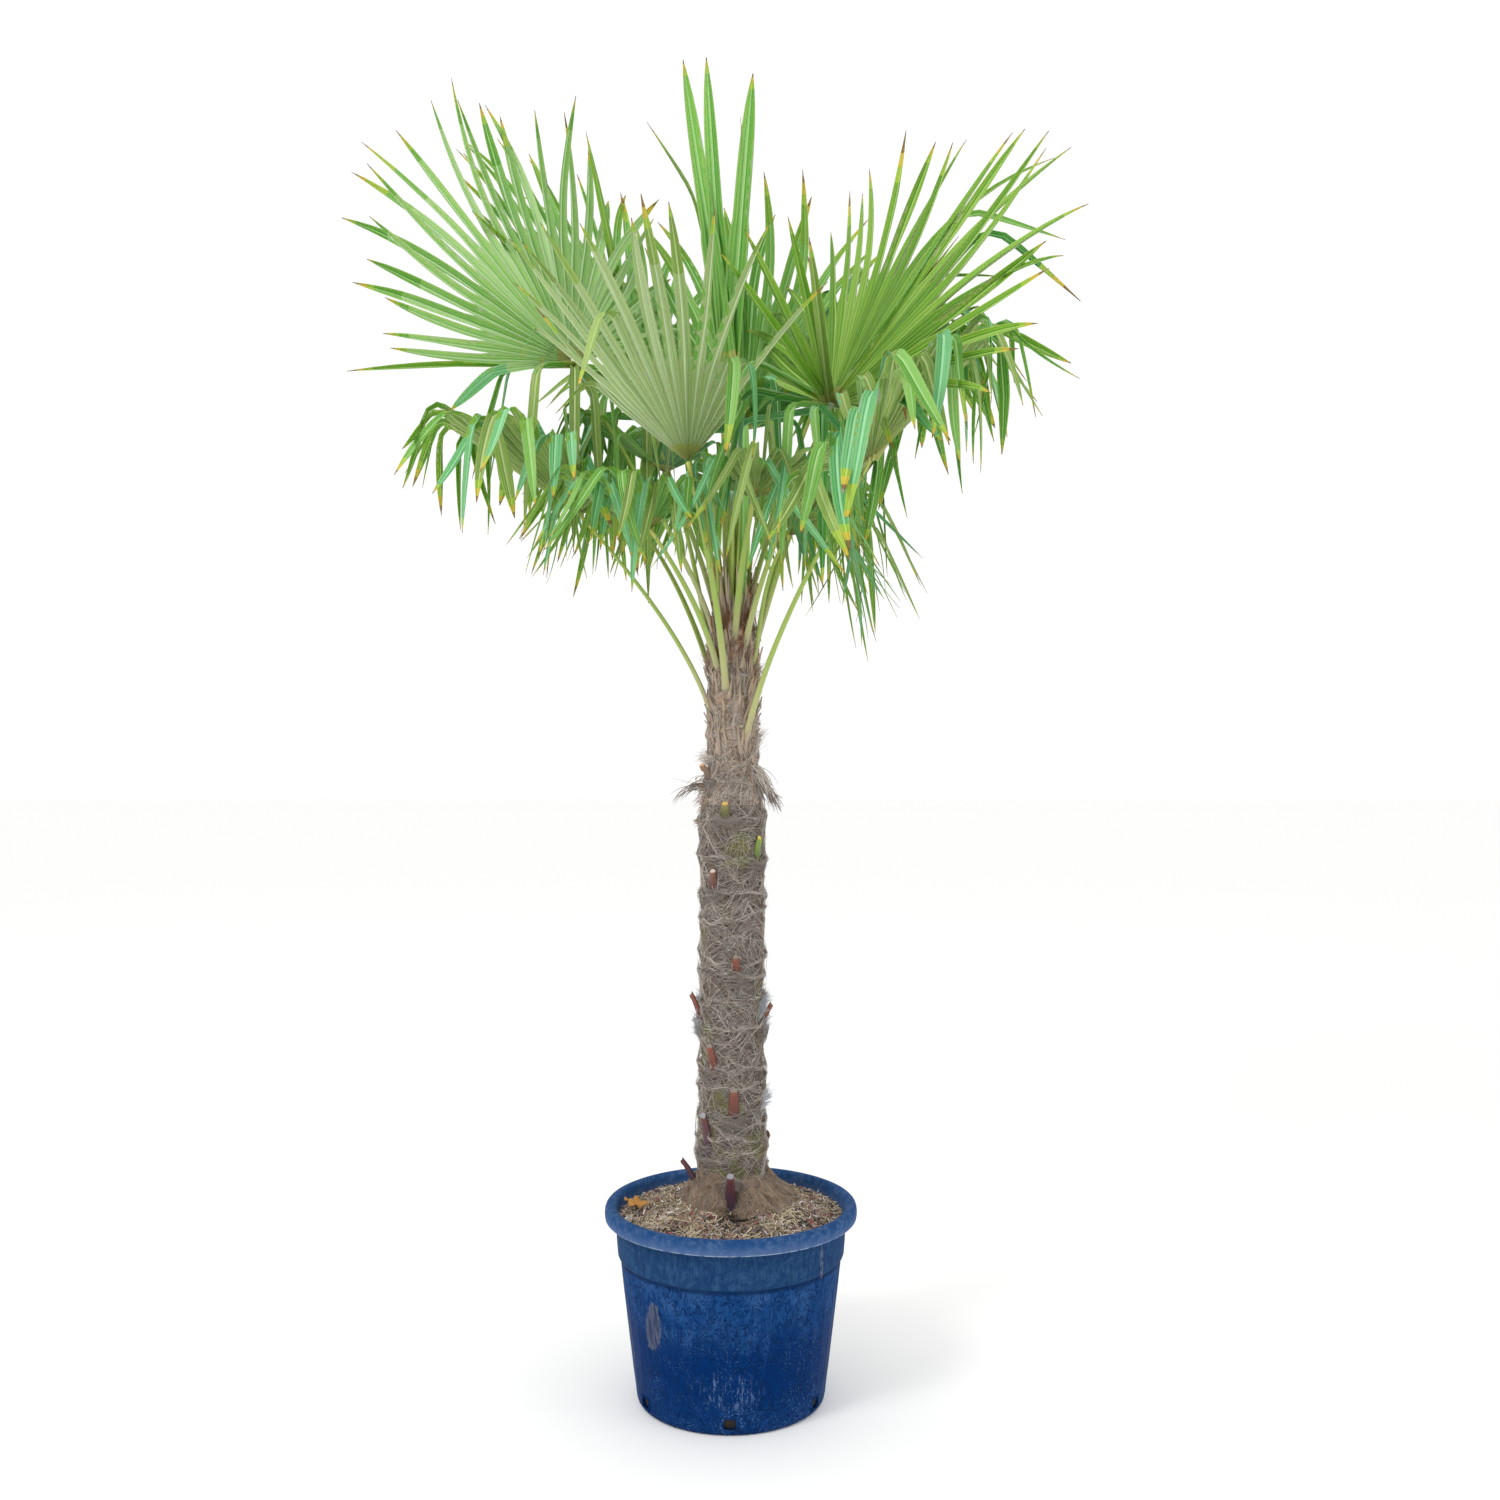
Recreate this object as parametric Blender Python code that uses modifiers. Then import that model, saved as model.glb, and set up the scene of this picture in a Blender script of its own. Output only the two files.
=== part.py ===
"""A windmill palm growing in a blue nursery pot.

Metres, +Z up. The origin is the centre of the pot's flat underside and -Y is the
plant's front. Compass angles run from 0 at the front, through 90 at +X, to 180 behind.
"""
import math
import random
from collections import namedtuple

import bmesh
import bpy
from mathutils import Matrix, Vector
from mathutils.bvhtree import BVHTree

# Driving dimensions of the pot
POT_HEIGHT = 0.480
RIM_RADIUS = 0.311
RIM_DEPTH = 0.036
COLLAR_FOOT = 0.333
NECK_RADIUS = 0.2755
FOOT_RADIUS = 0.232
WALL = 0.0055
FLOOR = 0.012
DRAIN_HOLES = 5
DRAIN_WIDTH = 0.028
POT_STEPS = 40

# Driving dimensions of the trunk
SOIL_TOP = 0.490
TRUNK_TOP = 1.970
TRUNK_LEAN = 0.006
FLARE_RADIUS = 0.102
TRUNK_STEPS = 20
SHEATH_STEP = 0.0045
GAP = 0.0003

# Driving dimensions of the leaves
BLADE_THICK = 0.008
LEAFLET_STEP = 8.4
SPLIT = 0.52
STALK_FOOT = 0.0105
STALK_TIP = 0.0060
CLEARANCE = 0.002

UP = Vector((0, 0, 1))

# A leaf: where its hub stands and its stalk starts, how its blade aims and how far it spreads.
# cup lifts the sides, bend is the share of a leaflet's length where it folds, droop how far.
Leaf = namedtuple("Leaf", "name azimuth reach height foot aim lift roll span blade cup bend droop")
LEAVES = [
    Leaf("front_centre", 348, 0.430, 2.235, 1.700, 338, 46, 0, 110, 0.61, 0.30, 0.90, 0.10),
    Leaf("upper_left", 288, 0.395, 2.525, 1.870, 277, 66, 46, 180, 0.725, 0.00, 0.92, 0.10),
    Leaf("upper_right", 37, 0.380, 2.385, 1.800, 87, 61, -31, 170, 0.745, 0.00, 0.92, 0.10),
    Leaf("front_right", 40, 0.490, 2.245, 1.580, 64, 45, -14, 214, 0.71, 0.10, 0.58, 1.00),
    Leaf("front_low", 12, 0.270, 2.180, 1.840, 14, 22, 0, 176, 0.52, 0.15, 0.42, 1.00),
    Leaf("far_right", 94, 0.300, 2.440, 1.780, 100, 30, 0, 184, 0.70, 0.15, 0.62, 0.80),
    Leaf("lower_left", 278, 0.375, 2.173, 1.664, 268, 36, 0, 214, 0.66, 0.20, 0.62, 1.00),
    Leaf("front_left", 322, 0.300, 2.110, 1.760, 312, 28, 0, 160, 0.50, 0.20, 0.50, 0.95),
    Leaf("inner_left", 248, 0.180, 2.290, 1.800, 236, 34, 0, 160, 0.62, 0.20, 0.50, 1.00),
    Leaf("spear", 200, 0.020, 2.540, 1.960, 180, 87, 0, 24, 0.76, 0.00, 1.00, 0.00),
    Leaf("upper_back", 165, 0.120, 2.420, 1.930, 168, 74, 0, 92, 0.69, 0.05, 0.80, 0.30),
    Leaf("upper_back_left", 232, 0.300, 2.500, 1.900, 236, 66, 0, 132, 0.80, 0.10, 0.84, 0.20),
    Leaf("upper_back_right", 126, 0.270, 2.490, 1.900, 126, 60, 0, 136, 0.68, 0.10, 0.60, 0.65),
    Leaf("low_right", 74, 0.150, 2.120, 1.740, 82, 10, 0, 178, 0.47, 0.20, 0.34, 0.95),
    Leaf("low_back_right", 130, 0.240, 2.210, 1.700, 128, 14, 0, 180, 0.54, 0.20, 0.38, 0.95),
    Leaf("low_back", 182, 0.380, 2.200, 1.680, 182, 25, 0, 190, 0.68, 0.20, 0.55, 0.90),
    Leaf("low_back_left", 226, 0.330, 2.170, 1.700, 226, 22, 0, 170, 0.50, 0.20, 0.50, 0.90),
    Leaf("far_back", 184, 0.380, 2.460, 1.860, 182, 40, 0, 150, 0.74, 0.10, 0.72, 0.60),
]

# A cut leaf base on the trunk: compass angle, height of its cut end, length, lean, width
LeafBase = namedtuple("LeafBase", "azimuth top length lean width")
LEAF_BASES = [
    LeafBase(-58, 1.560, 0.055, 30, 0.026),
    LeafBase(-10, 1.468, 0.050, 32, 0.026),
    LeafBase(54, 1.384, 0.085, 14, 0.024),
    LeafBase(-36, 1.304, 0.070, 12, 0.026),
    LeafBase(10, 1.092, 0.060, 12, 0.024),
    LeafBase(-82, 0.998, 0.090, 20, 0.030),
    LeafBase(84, 0.972, 0.085, 22, 0.030),
    LeafBase(-34, 0.880, 0.090, 12, 0.026),
    LeafBase(6, 0.776, 0.090, 12, 0.028),
    LeafBase(-44, 0.712, 0.115, 12, 0.028),
    LeafBase(0, 0.580, 0.085, 20, 0.032),
    LeafBase(-84, 0.588, 0.080, 30, 0.020),
    LeafBase(128, 1.420, 0.075, 18, 0.026),
    LeafBase(200, 1.190, 0.080, 16, 0.026),
    LeafBase(156, 0.930, 0.090, 15, 0.028),
    LeafBase(236, 0.800, 0.085, 17, 0.028),
    LeafBase(116, 0.640, 0.085, 20, 0.030),
]


def compass(azimuth, lift=0.0):
    """The unit vector at this compass angle, raised by lift degrees."""
    a, e = math.radians(azimuth), math.radians(lift)
    return Vector((math.cos(e) * math.sin(a), -math.cos(e) * math.cos(a), math.sin(e)))


def ease(t):
    t = min(1.0, max(0.0, t))
    return t * t * (3 - 2 * t)


def paint(obj, name, colour, roughness, metallic=0.0):
    """Gives the object its own Principled material."""
    material = bpy.data.materials.new(name)
    material.use_nodes = True
    shader = material.node_tree.nodes["Principled BSDF"]
    shader.inputs["Base Color"].default_value = (*colour, 1)
    shader.inputs["Roughness"].default_value = roughness
    shader.inputs["Metallic"].default_value = metallic
    material.diffuse_color = (*colour, 1)
    obj.data.materials.clear()
    obj.data.materials.append(material)


def add_object(name, mesh, collection):
    obj = bpy.data.objects.new(name, mesh)
    collection.objects.link(obj)
    return obj


def shade(obj, angle=35):
    obj.data.shade_smooth()
    obj.data.set_sharp_from_angle(angle=math.radians(angle))


def turned(name, profile, steps, collection):
    """Turns a closed profile of (radius, height) points about Z."""
    mesh = bpy.data.meshes.new(name)
    bm = bmesh.new()
    points = [bm.verts.new((r, 0, z)) for r, z in profile]
    for first, second in zip(points, points[1:]):
        bm.edges.new((first, second))
    if profile[0][0] > 0 and profile[-1][0] > 0:
        bm.edges.new((points[-1], points[0]))
    bm.to_mesh(mesh)
    bm.free()
    obj = add_object(name, mesh, collection)
    screw = obj.modifiers.new("Turn", "SCREW")
    screw.steps = screw.render_steps = steps
    screw.use_merge_vertices = True
    screw.merge_threshold = 0.00005
    screw.use_smooth_shade = True
    return obj


def drop_scraps(bm):
    """Keeps the largest connected piece of a mesh."""
    left, pieces = set(bm.verts), []
    while left:
        start = left.pop()
        piece, queue = {start}, [start]
        while queue:
            for edge in queue.pop().link_edges:
                for vertex in edge.verts:
                    if vertex in left:
                        left.remove(vertex)
                        piece.add(vertex)
                        queue.append(vertex)
        pieces.append(piece)
    pieces.sort(key=len)
    for piece in pieces[:-1]:
        bmesh.ops.delete(bm, geom=list(piece), context="VERTS")


def as_mesh(obj, collection):
    """Replaces an object by the mesh that its modifiers or its bevel make."""
    bpy.context.view_layer.update()
    graph = bpy.context.evaluated_depsgraph_get()
    mesh = bpy.data.meshes.new_from_object(obj.evaluated_get(graph), depsgraph=graph)
    name, matrix = obj.name, obj.matrix_world.copy()
    bpy.data.objects.remove(obj, do_unlink=True)
    bm = bmesh.new()
    bm.from_mesh(mesh)
    bmesh.ops.remove_doubles(bm, verts=bm.verts, dist=0.00002)
    bmesh.ops.recalc_face_normals(bm, faces=bm.faces)
    drop_scraps(bm)
    bm.to_mesh(mesh)
    bm.free()
    made = add_object(name, mesh, collection)
    made.matrix_world = matrix
    return made


def cut(obj, cutter):
    boolean = obj.modifiers.new("Cut " + cutter.name, "BOOLEAN")
    boolean.operation = "DIFFERENCE"
    boolean.solver = "EXACT"
    boolean.object = cutter


def hide(obj):
    obj.hide_render = True
    obj.display_type = "WIRE"


# Clear the scene and make the collections
for old in list(bpy.data.objects):
    bpy.data.objects.remove(old, do_unlink=True)
palm = bpy.data.collections.new("windmill_palm")
bpy.context.scene.collection.children.link(palm)
cutters = bpy.data.collections.new("cutters")
bpy.context.scene.collection.children.link(cutters)


# The pot: a turned plastic wall with a rolled rim, a collar band and drain holes
def outer_wall():
    """Points up the outside of the pot, from the edge of its flat underside to the rim's crest."""
    inner_rim = RIM_RADIUS - 0.035
    points = [(FOOT_RADIUS - 0.014, 0.0), (FOOT_RADIUS - 0.004, 0.004), (FOOT_RADIUS, 0.013)]
    points += [(0.2705, COLLAR_FOOT - 0.006), (0.2780, COLLAR_FOOT)]
    points += [(0.2840, POT_HEIGHT - RIM_DEPTH)]
    centre_r, centre_z = (RIM_RADIUS + inner_rim) / 2, POT_HEIGHT - RIM_DEPTH / 2
    for k in range(9):
        angle = math.radians(-70 + k * 28)
        swell = 0.0175 * math.copysign(abs(math.cos(angle)) ** 0.7, math.cos(angle))
        rise = RIM_DEPTH / 2 * math.copysign(abs(math.sin(angle)) ** 0.7, math.sin(angle))
        points.append((centre_r + swell, centre_z + rise))
    return points


def inner_wall(grow=0.0):
    """Points down the inside of the pot, from just under the rim to its floor; grow moves them inwards."""
    return [
        (NECK_RADIUS - grow, POT_HEIGHT - RIM_DEPTH),
        (0.2780 - WALL - grow, COLLAR_FOOT + 0.004),
        (0.2705 - WALL - grow, COLLAR_FOOT - 0.007),
        (FOOT_RADIUS + 0.001 - WALL - grow, FLOOR + grow),
    ]


pot = turned("pot", [(0, 0)] + outer_wall() + inner_wall() + [(0, FLOOR)], POT_STEPS, palm)
pot = as_mesh(pot, palm)
for k in range(DRAIN_HOLES):
    mesh = bpy.data.meshes.new("drain_cutter_%d" % (k + 1))
    bm = bmesh.new()
    bmesh.ops.create_cube(bm, size=1)
    bmesh.ops.scale(bm, vec=(DRAIN_WIDTH, 0.040, 0.024), verts=bm.verts)
    bm.to_mesh(mesh)
    bm.free()
    cutter = add_object(mesh.name, mesh, cutters)
    turn = k * 360 / DRAIN_HOLES
    cutter.location = compass(turn) * (FOOT_RADIUS + 0.001) + UP * 0.030
    cutter.rotation_euler = (0, 0, math.radians(turn))
    hide(cutter)
    cut(pot, cutter)
paint(pot, "blue plastic", (0.012, 0.050, 0.160), 0.42)

# The soil fills the pot up to just under the rim and rises to a flat spot below the trunk
SOIL_EDGE = POT_HEIGHT - 0.026
mound = [(0.0, SOIL_TOP), (0.125, SOIL_TOP)]
mound += [(0.125 + 0.148 * t, SOIL_TOP - (SOIL_TOP - SOIL_EDGE) * ease(t)) for t in (0.35, 0.7)]
edge_r = NECK_RADIUS - GAP
mound += [(edge_r, SOIL_EDGE - 0.002), (edge_r, POT_HEIGHT - RIM_DEPTH)]
soil = turned("potting_soil", mound + inner_wall(GAP)[1:] + [(0, FLOOR + GAP)], POT_STEPS, palm)
soil = as_mesh(soil, palm)
shade(soil)
paint(soil, "straw and bark mulch", (0.150, 0.110, 0.075), 0.95)


# The trunk: a turned stem in leaf sheaths that overhang one another, with a shoulder where the
# old fibre ends and a slimmer neck above it
def stem_radius(z):
    """The trunk's mean radius at this height."""
    marks = [
        (SOIL_TOP, FLARE_RADIUS), (0.515, 0.0925), (0.560, 0.0870), (0.700, 0.0830),
        (0.900, 0.0805), (1.100, 0.0795), (1.330, 0.0825), (1.415, 0.0830), (1.455, 0.0800),
        (1.500, 0.0670), (1.545, 0.0625), (1.760, 0.0600), (1.880, 0.0585), (1.930, 0.0500),
        (TRUNK_TOP, 0.030),
    ]
    for (low, first), (high, second) in zip(marks, marks[1:]):
        if z <= high:
            return first + (second - first) * max(0.0, z - low) / (high - low)
    return marks[-1][1]


SHEATH_EDGES = [0.613, 0.642, 0.698, 0.780, 0.819, 0.928, 0.990, 1.048, 1.090, 1.191, 1.242, 1.338]
SHEATH_EDGES += [1.430, 1.515, 1.580, 1.650, 1.720, 1.790, 1.855]


def stem_profile(grow=0.0):
    """The trunk's profile from the soil to its tip, with a step at each sheath's edge."""
    points = [(0.0, SOIL_TOP + GAP - grow)]
    heights = [(SOIL_TOP + GAP - grow, 0.0), (0.515, 0.0), (0.560, 0.0)]
    for edge in SHEATH_EDGES:
        heights += [(edge - 0.004, -SHEATH_STEP / 2), (edge, SHEATH_STEP / 2)]
    heights += [(1.905, 0.0), (1.940, 0.0), (TRUNK_TOP, 0.0)]
    points += [(stem_radius(z) + step + grow, z) for z, step in heights]
    return points + [(0.0, TRUNK_TOP + 0.012 + grow)]


def make_stem(name, collection, grow=0.0):
    stem = as_mesh(turned(name, stem_profile(grow), TRUNK_STEPS, collection), collection)
    for vertex in stem.data.vertices:
        vertex.co.x += TRUNK_LEAN * (vertex.co.z - SOIL_TOP) / (TRUNK_TOP - SOIL_TOP)
    return stem


trunk = make_stem("trunk", palm)
shade(trunk, 50)
paint(trunk, "fibrous bark", (0.235, 0.175, 0.135), 0.95)
trunk_cutter = make_stem("trunk_cutter", cutters, GAP)
hide(trunk_cutter)


# Cut leaf bases: short tapered woody tongues that lean out of the sheaths
def make_leaf_base(number, base):
    out = compass(base.azimuth)
    mesh = bpy.data.meshes.new("cut_leaf_base_%02d" % number)
    bm = bmesh.new()
    bmesh.ops.create_cube(bm, size=1)
    bmesh.ops.scale(bm, vec=(base.width, 0.013, base.length), verts=bm.verts)
    for vertex in bm.verts:
        if vertex.co.z < 0:
            vertex.co.x *= 1.35
            vertex.co.y *= 1.5
    bmesh.ops.bevel(bm, geom=[e for e in bm.edges if abs(e.verts[0].co.z - e.verts[1].co.z) > 0.01],
                    offset=0.003, segments=1, affect="EDGES")
    bm.to_mesh(mesh)
    bm.free()
    obj = add_object(mesh.name, mesh, palm)
    lean = math.radians(base.lean)
    axis = UP * math.cos(lean) + out * math.sin(lean)
    side = UP.cross(out)
    turn = Matrix((side, side.cross(axis) * -1, axis)).transposed()
    sunk = stem_radius(base.top - base.length) - 0.010
    foot = out * sunk + UP * (base.top - base.length * math.cos(lean))
    obj.matrix_world = Matrix.Translation(foot + axis * base.length / 2) @ turn.to_4x4()
    cut(obj, trunk_cutter)
    paint(obj, "red brown leaf base %02d" % number, (0.170, 0.060, 0.040), 0.7)
    return obj


for number, base in enumerate(LEAF_BASES, 1):
    make_leaf_base(number, base)


# Leaf stalks: slim tapering curves from the trunk to each blade's hub
def blade_axes(leaf):
    """The directions along, across and up out of a leaf's blade."""
    axis = compass(leaf.aim, leaf.lift)
    upper = compass(leaf.aim + 180, 90 - leaf.lift)
    side = axis.cross(upper)
    roll = math.radians(leaf.roll)
    across = side * math.cos(roll) + upper * math.sin(roll)
    return axis, across, upper * math.cos(roll) - side * math.sin(roll)


def leaflet_direction(leaf, angle):
    axis, across, upper = blade_axes(leaf)
    lifted = upper * (2 * leaf.cup * math.sin(angle) ** 2)
    return (axis * math.cos(angle) + across * math.sin(angle) + lifted).normalized()


def prism(points, faces, corners, reach):
    """Adds the closed prism of a thick triangle, for finding clashes."""
    normal = (corners[1] - corners[0]).cross(corners[2] - corners[0]).normalized() * reach
    first = len(points)
    points.extend(corner + normal for corner in corners)
    points.extend(corner - normal for corner in corners)
    faces.append((first, first + 1, first + 2))
    faces.append((first + 3, first + 5, first + 4))
    for i, j in ((0, 1), (1, 2), (2, 0)):
        faces.append((first + i, first + 3 + i, first + 3 + j, first + j))


def hub_of(leaf):
    return compass(leaf.azimuth) * leaf.reach + UP * leaf.height


def stalk_handles(leaf):
    """The four points of the stalk's Bezier curve."""
    out = compass(leaf.azimuth)
    foot = out * (stem_radius(leaf.foot) - 0.020) + UP * leaf.foot
    hub = hub_of(leaf)
    chord = (hub - foot).length
    arrive = (blade_axes(leaf)[0] + (hub - foot).normalized() * 1.5).normalized()
    return foot, foot + (UP + out * 0.30).normalized() * chord * 0.33, hub - arrive * chord * 0.30, hub


def stalk_stop(leaf):
    """How far before the hub the stalk ends, so that it just clears the blade."""
    _, _, second, hub = stalk_handles(leaf)
    arrive = (hub - second).normalized()
    beside = arrive.orthogonal().normalized()
    points, faces = [], []
    count = 16
    for k in range(count):
        spread = math.radians(leaf.span)
        corners = [leaflet_direction(leaf, (j / count - 0.5) * spread) * 0.06 for j in (k, k + 1)]
        prism(points, faces, (hub, hub + corners[0], hub + corners[1]), BLADE_THICK / 2 + 4 * GAP)
    blade = BVHTree.FromPolygons(points, faces)
    for step in range(1, 25):
        stop = step * 0.0005
        rings = [[hub - arrive * back + Matrix.Rotation(k * math.pi / 4, 3, arrive) @ beside * (STALK_TIP + GAP)
                  for k in range(8)] for back in (stop, stop + 0.02)]
        sides = [(k, (k + 1) % 8, 8 + (k + 1) % 8, 8 + k) for k in range(8)] + [tuple(range(8))]
        if not BVHTree.FromPolygons(rings[0] + rings[1], sides).overlap(blade):
            return stop + 0.0010
    return 0.0125


def make_stalk(leaf, short):
    """A stalk that stops short of the hub by this many metres."""
    foot, first, second, hub = stalk_handles(leaf)
    arrive = (hub - second).normalized()
    hub, second = hub - arrive * short, second - arrive * short
    curve = bpy.data.curves.new("stalk_" + leaf.name, "CURVE")
    curve.dimensions = "3D"
    curve.resolution_u = 7
    curve.bevel_depth = STALK_FOOT
    curve.bevel_resolution = 1
    curve.use_fill_caps = True
    spline = curve.splines.new("BEZIER")
    spline.bezier_points.add(1)
    for point, place, left, right, radius in (
        (spline.bezier_points[0], foot, foot * 2 - first, first, 1.0),
        (spline.bezier_points[1], hub, second, hub * 2 - second, STALK_TIP / STALK_FOOT),
    ):
        point.co, point.handle_left, point.handle_right, point.radius = place, left, right, radius
    stalk = as_mesh(add_object(curve.name, curve, palm), palm)
    cut(stalk, trunk_cutter)
    stalk = as_mesh(stalk, palm)
    shade(stalk, 70)
    paint(stalk, "yellow green stalk " + leaf.name, (0.300, 0.380, 0.070), 0.55)
    return stalk


# Leaf blades: a fan of leaflets joined round the hub, split further out, the outer ones hanging
def leaflet_spine(leaf, angle, length, bend, droop, steps=24):
    """Points along a leaflet's midrib, and the direction across it at each of them."""
    start = leaflet_direction(leaf, angle)
    ahead = leaflet_direction(leaf, angle + 0.05)
    across = (ahead - start * ahead.dot(start)).normalized()
    droop *= ease(abs(start.cross(across).z) / 0.55)
    point, spine = hub_of(leaf), []
    for k in range(steps + 1):
        share = k / steps
        weight = droop * ease((share - bend + 0.07) / 0.18)
        heading = (start * (1 - weight) - UP * (weight + 0.10 * share * share)).normalized()
        level = (across - heading * across.dot(heading)).normalized()
        spine.append((point.copy(), level, heading))
        point += heading * length / steps
    return spine


def along(spine, share):
    """The spine's point, cross direction and heading at this share of its length."""
    place = min(max(share, 0.0), 1.0) * (len(spine) - 1)
    k = min(int(place), len(spine) - 2)
    t = place - k
    first, second = spine[k], spine[k + 1]
    return tuple((a.lerp(b, t) for a, b in zip(first, second)))


def leaflet_rows(leaf, length, spine, notch, half, bend, droop):
    """Pairs of edge points from past the notch to the tip, and the tip itself."""
    start = notch / length
    if droop > 0.35 and start < bend < 0.86:
        shares = [max(bend - 0.04, start + 0.03), bend + 0.10]
        if length * (0.9 - bend) > 0.16:
            shares.append((bend + 1.06) / 2)
    else:
        shares = [start + (1 - start) * 0.5]
    rows = []
    for share in shares:
        t = (share - start) / (1 - start)
        centre, level, heading = along(spine, share)
        width = half * (1 - t * t) ** 0.9 * 0.94
        rows.append((centre - level * width, centre + level * width, level.cross(heading)))
    return rows, spine[-1][0]


def leaflet_box(left, right, rows, tip):
    """The leaflet's surface with its thickness and a clearance, as a search tree."""
    points, faces = [], []
    reach = BLADE_THICK / 2 + CLEARANCE
    ladder = [(left, right)] + [(a, b) for a, b, _ in rows]
    for (a, b), (c, d) in zip(ladder, ladder[1:]):
        for corners in ((a, c, d), (a, d, b)):
            prism(points, faces, corners, reach)
    a, b = ladder[-1]
    prism(points, faces, (a, b, tip), reach)
    return BVHTree.FromPolygons(points, faces), points, faces


def clear_of(tree, others):
    return not any(tree.overlap(other) for other in others)


def tries(bend, droop):
    """The leaflet as grown, then the ways in which it gives way to what it would touch."""
    yield bend, droop, 1.0
    for shorter in (1.0, 0.86, 0.72, 0.58):
        for change in (0.12, -0.12, 0.25, -0.25, 0.4, -0.4):
            yield bend, min(1.15, max(0.0, droop + change)), shorter
        for shift in (0.08, -0.08):
            yield max(0.2, bend + shift), droop, shorter


def sector(hub, first, second):
    """The joined part of the fan between two notches, with its thickness and a clearance."""
    points, faces = [], []
    prism(points, faces, (hub, first, second), BLADE_THICK / 2 + CLEARANCE)
    return points, faces


def plan_fan(leaf, seed, obstacles):
    """The leaflets' angles, lengths, bends and droops, and the notches between them.

    Where the joined part of the fan would touch another leaf, its notches are cut deeper.
    """
    rng = random.Random(seed)
    hub = hub_of(leaf)
    count = max(4, round(leaf.span / LEAFLET_STEP))
    span = math.radians(leaf.span)
    split = min(SPLIT, leaf.bend - 0.08)
    grown = []
    for k in range(count):
        angle = ((k + 0.5) / count - 0.5) * span
        side = abs(angle) * 2 / span
        length = leaf.blade * (1 - 0.28 * side ** 2.5) * (1 + rng.uniform(-0.04, 0.04))
        droop = leaf.droop * (1 + rng.uniform(-0.30, 0.12))
        bend = leaf.bend + rng.uniform(-0.05, 0.05)
        if side > 0.86 and leaf.droop < 0.4 and leaf.span > 60:
            droop, bend = max(droop, 0.75 + rng.uniform(-0.2, 0.2)), 0.62 + rng.uniform(-0.06, 0.06)
        grown.append((angle, length, bend, droop))
    lengths = [row[1] for row in grown]
    notches = [lengths[0] * split * 0.9]
    for first, second in zip(lengths, lengths[1:]):
        notches.append(min(first, second) * split * rng.uniform(0.88, 1.06))
    notches.append(lengths[-1] * split * 0.9)
    headings = [leaflet_direction(leaf, (k / count - 0.5) * span) for k in range(count + 1)]
    points, faces = [], []
    for k in range(count):
        for _ in range(9):
            corners = [hub + headings[j] * notches[j] for j in (k, k + 1)]
            skin, sides = sector(hub, *corners)
            tree = BVHTree.FromPolygons(skin, sides)
            met = [name for name, other in obstacles if tree.overlap(other)]
            if not met:
                break
            notches[k], notches[k + 1] = notches[k] * 0.8, notches[k + 1] * 0.8
        else:
            print("the fan of", leaf.name, "meets", met, "at leaflet", k)
    for k in range(count):
        corners = [hub + headings[j] * notches[j] for j in (k, k + 1)]
        skin, sides = sector(hub, *corners)
        faces.extend(tuple(i + len(points) for i in side) for side in sides)
        points.extend(skin)
    return grown, notches, headings, BVHTree.FromPolygons(points, faces)


def make_blade(leaf, plan, obstacles):
    """The leaf's fan as an open surface with Solidify. Its leaflets keep clear of the obstacles."""
    grown, notches, headings, _ = plan
    hub = hub_of(leaf)
    bm = bmesh.new()
    centre = bm.verts.new(hub)
    ring = [bm.verts.new(hub + heading * notch) for heading, notch in zip(headings, notches)]
    for first, second in zip(ring, ring[1:]):
        bm.faces.new((centre, first, second))
    kept_points, kept_faces = [], []
    cut_back = skipped = 0
    for k, (angle, length, bend, droop) in enumerate(grown):
        notch = max(notches[k], notches[k + 1])
        half = (ring[k].co - ring[k + 1].co).length / 2
        left, right = ring[k].co, ring[k + 1].co
        for bend_now, droop_now, shorter in tries(bend, droop):
            size = max(length * shorter, notch * 1.25)
            scale = length / size
            spine = leaflet_spine(leaf, angle, size, bend_now * scale, droop_now)
            rows, tip = leaflet_rows(leaf, size, spine, notch, half, bend_now * scale, droop_now)
            tree, points, faces = leaflet_box(left, right, rows, tip)
            if clear_of(tree, obstacles):
                break
        else:
            skipped += 1
            continue
        cut_back += shorter < 1
        kept_faces.extend(tuple(i + len(kept_points) for i in face) for face in faces)
        kept_points.extend(points)
        a, b = ring[k], ring[k + 1]
        for low, high, _ in rows:
            c, d = bm.verts.new(low), bm.verts.new(high)
            bm.faces.new((a, c, d))
            bm.faces.new((a, d, b))
            a, b = c, d
        bm.faces.new((a, bm.verts.new(tip), b))
    mesh = bpy.data.meshes.new("blade_" + leaf.name)
    bm.to_mesh(mesh)
    bm.free()
    blade = add_object(mesh.name, mesh, palm)
    solidify = blade.modifiers.new("Leaf thickness", "SOLIDIFY")
    solidify.thickness = BLADE_THICK
    solidify.offset = 0
    paint(blade, "fan leaf " + leaf.name, (0.170, 0.330, 0.060), 0.5)
    print(leaf.name, len(grown), "leaflets,", cut_back, "cut back,", skipped, "left out")
    return BVHTree.FromPolygons(kept_points, kept_faces)


def tree_of(obj):
    bpy.context.view_layer.update()
    graph = bpy.context.evaluated_depsgraph_get()
    return BVHTree.FromObject(obj, graph)


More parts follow.
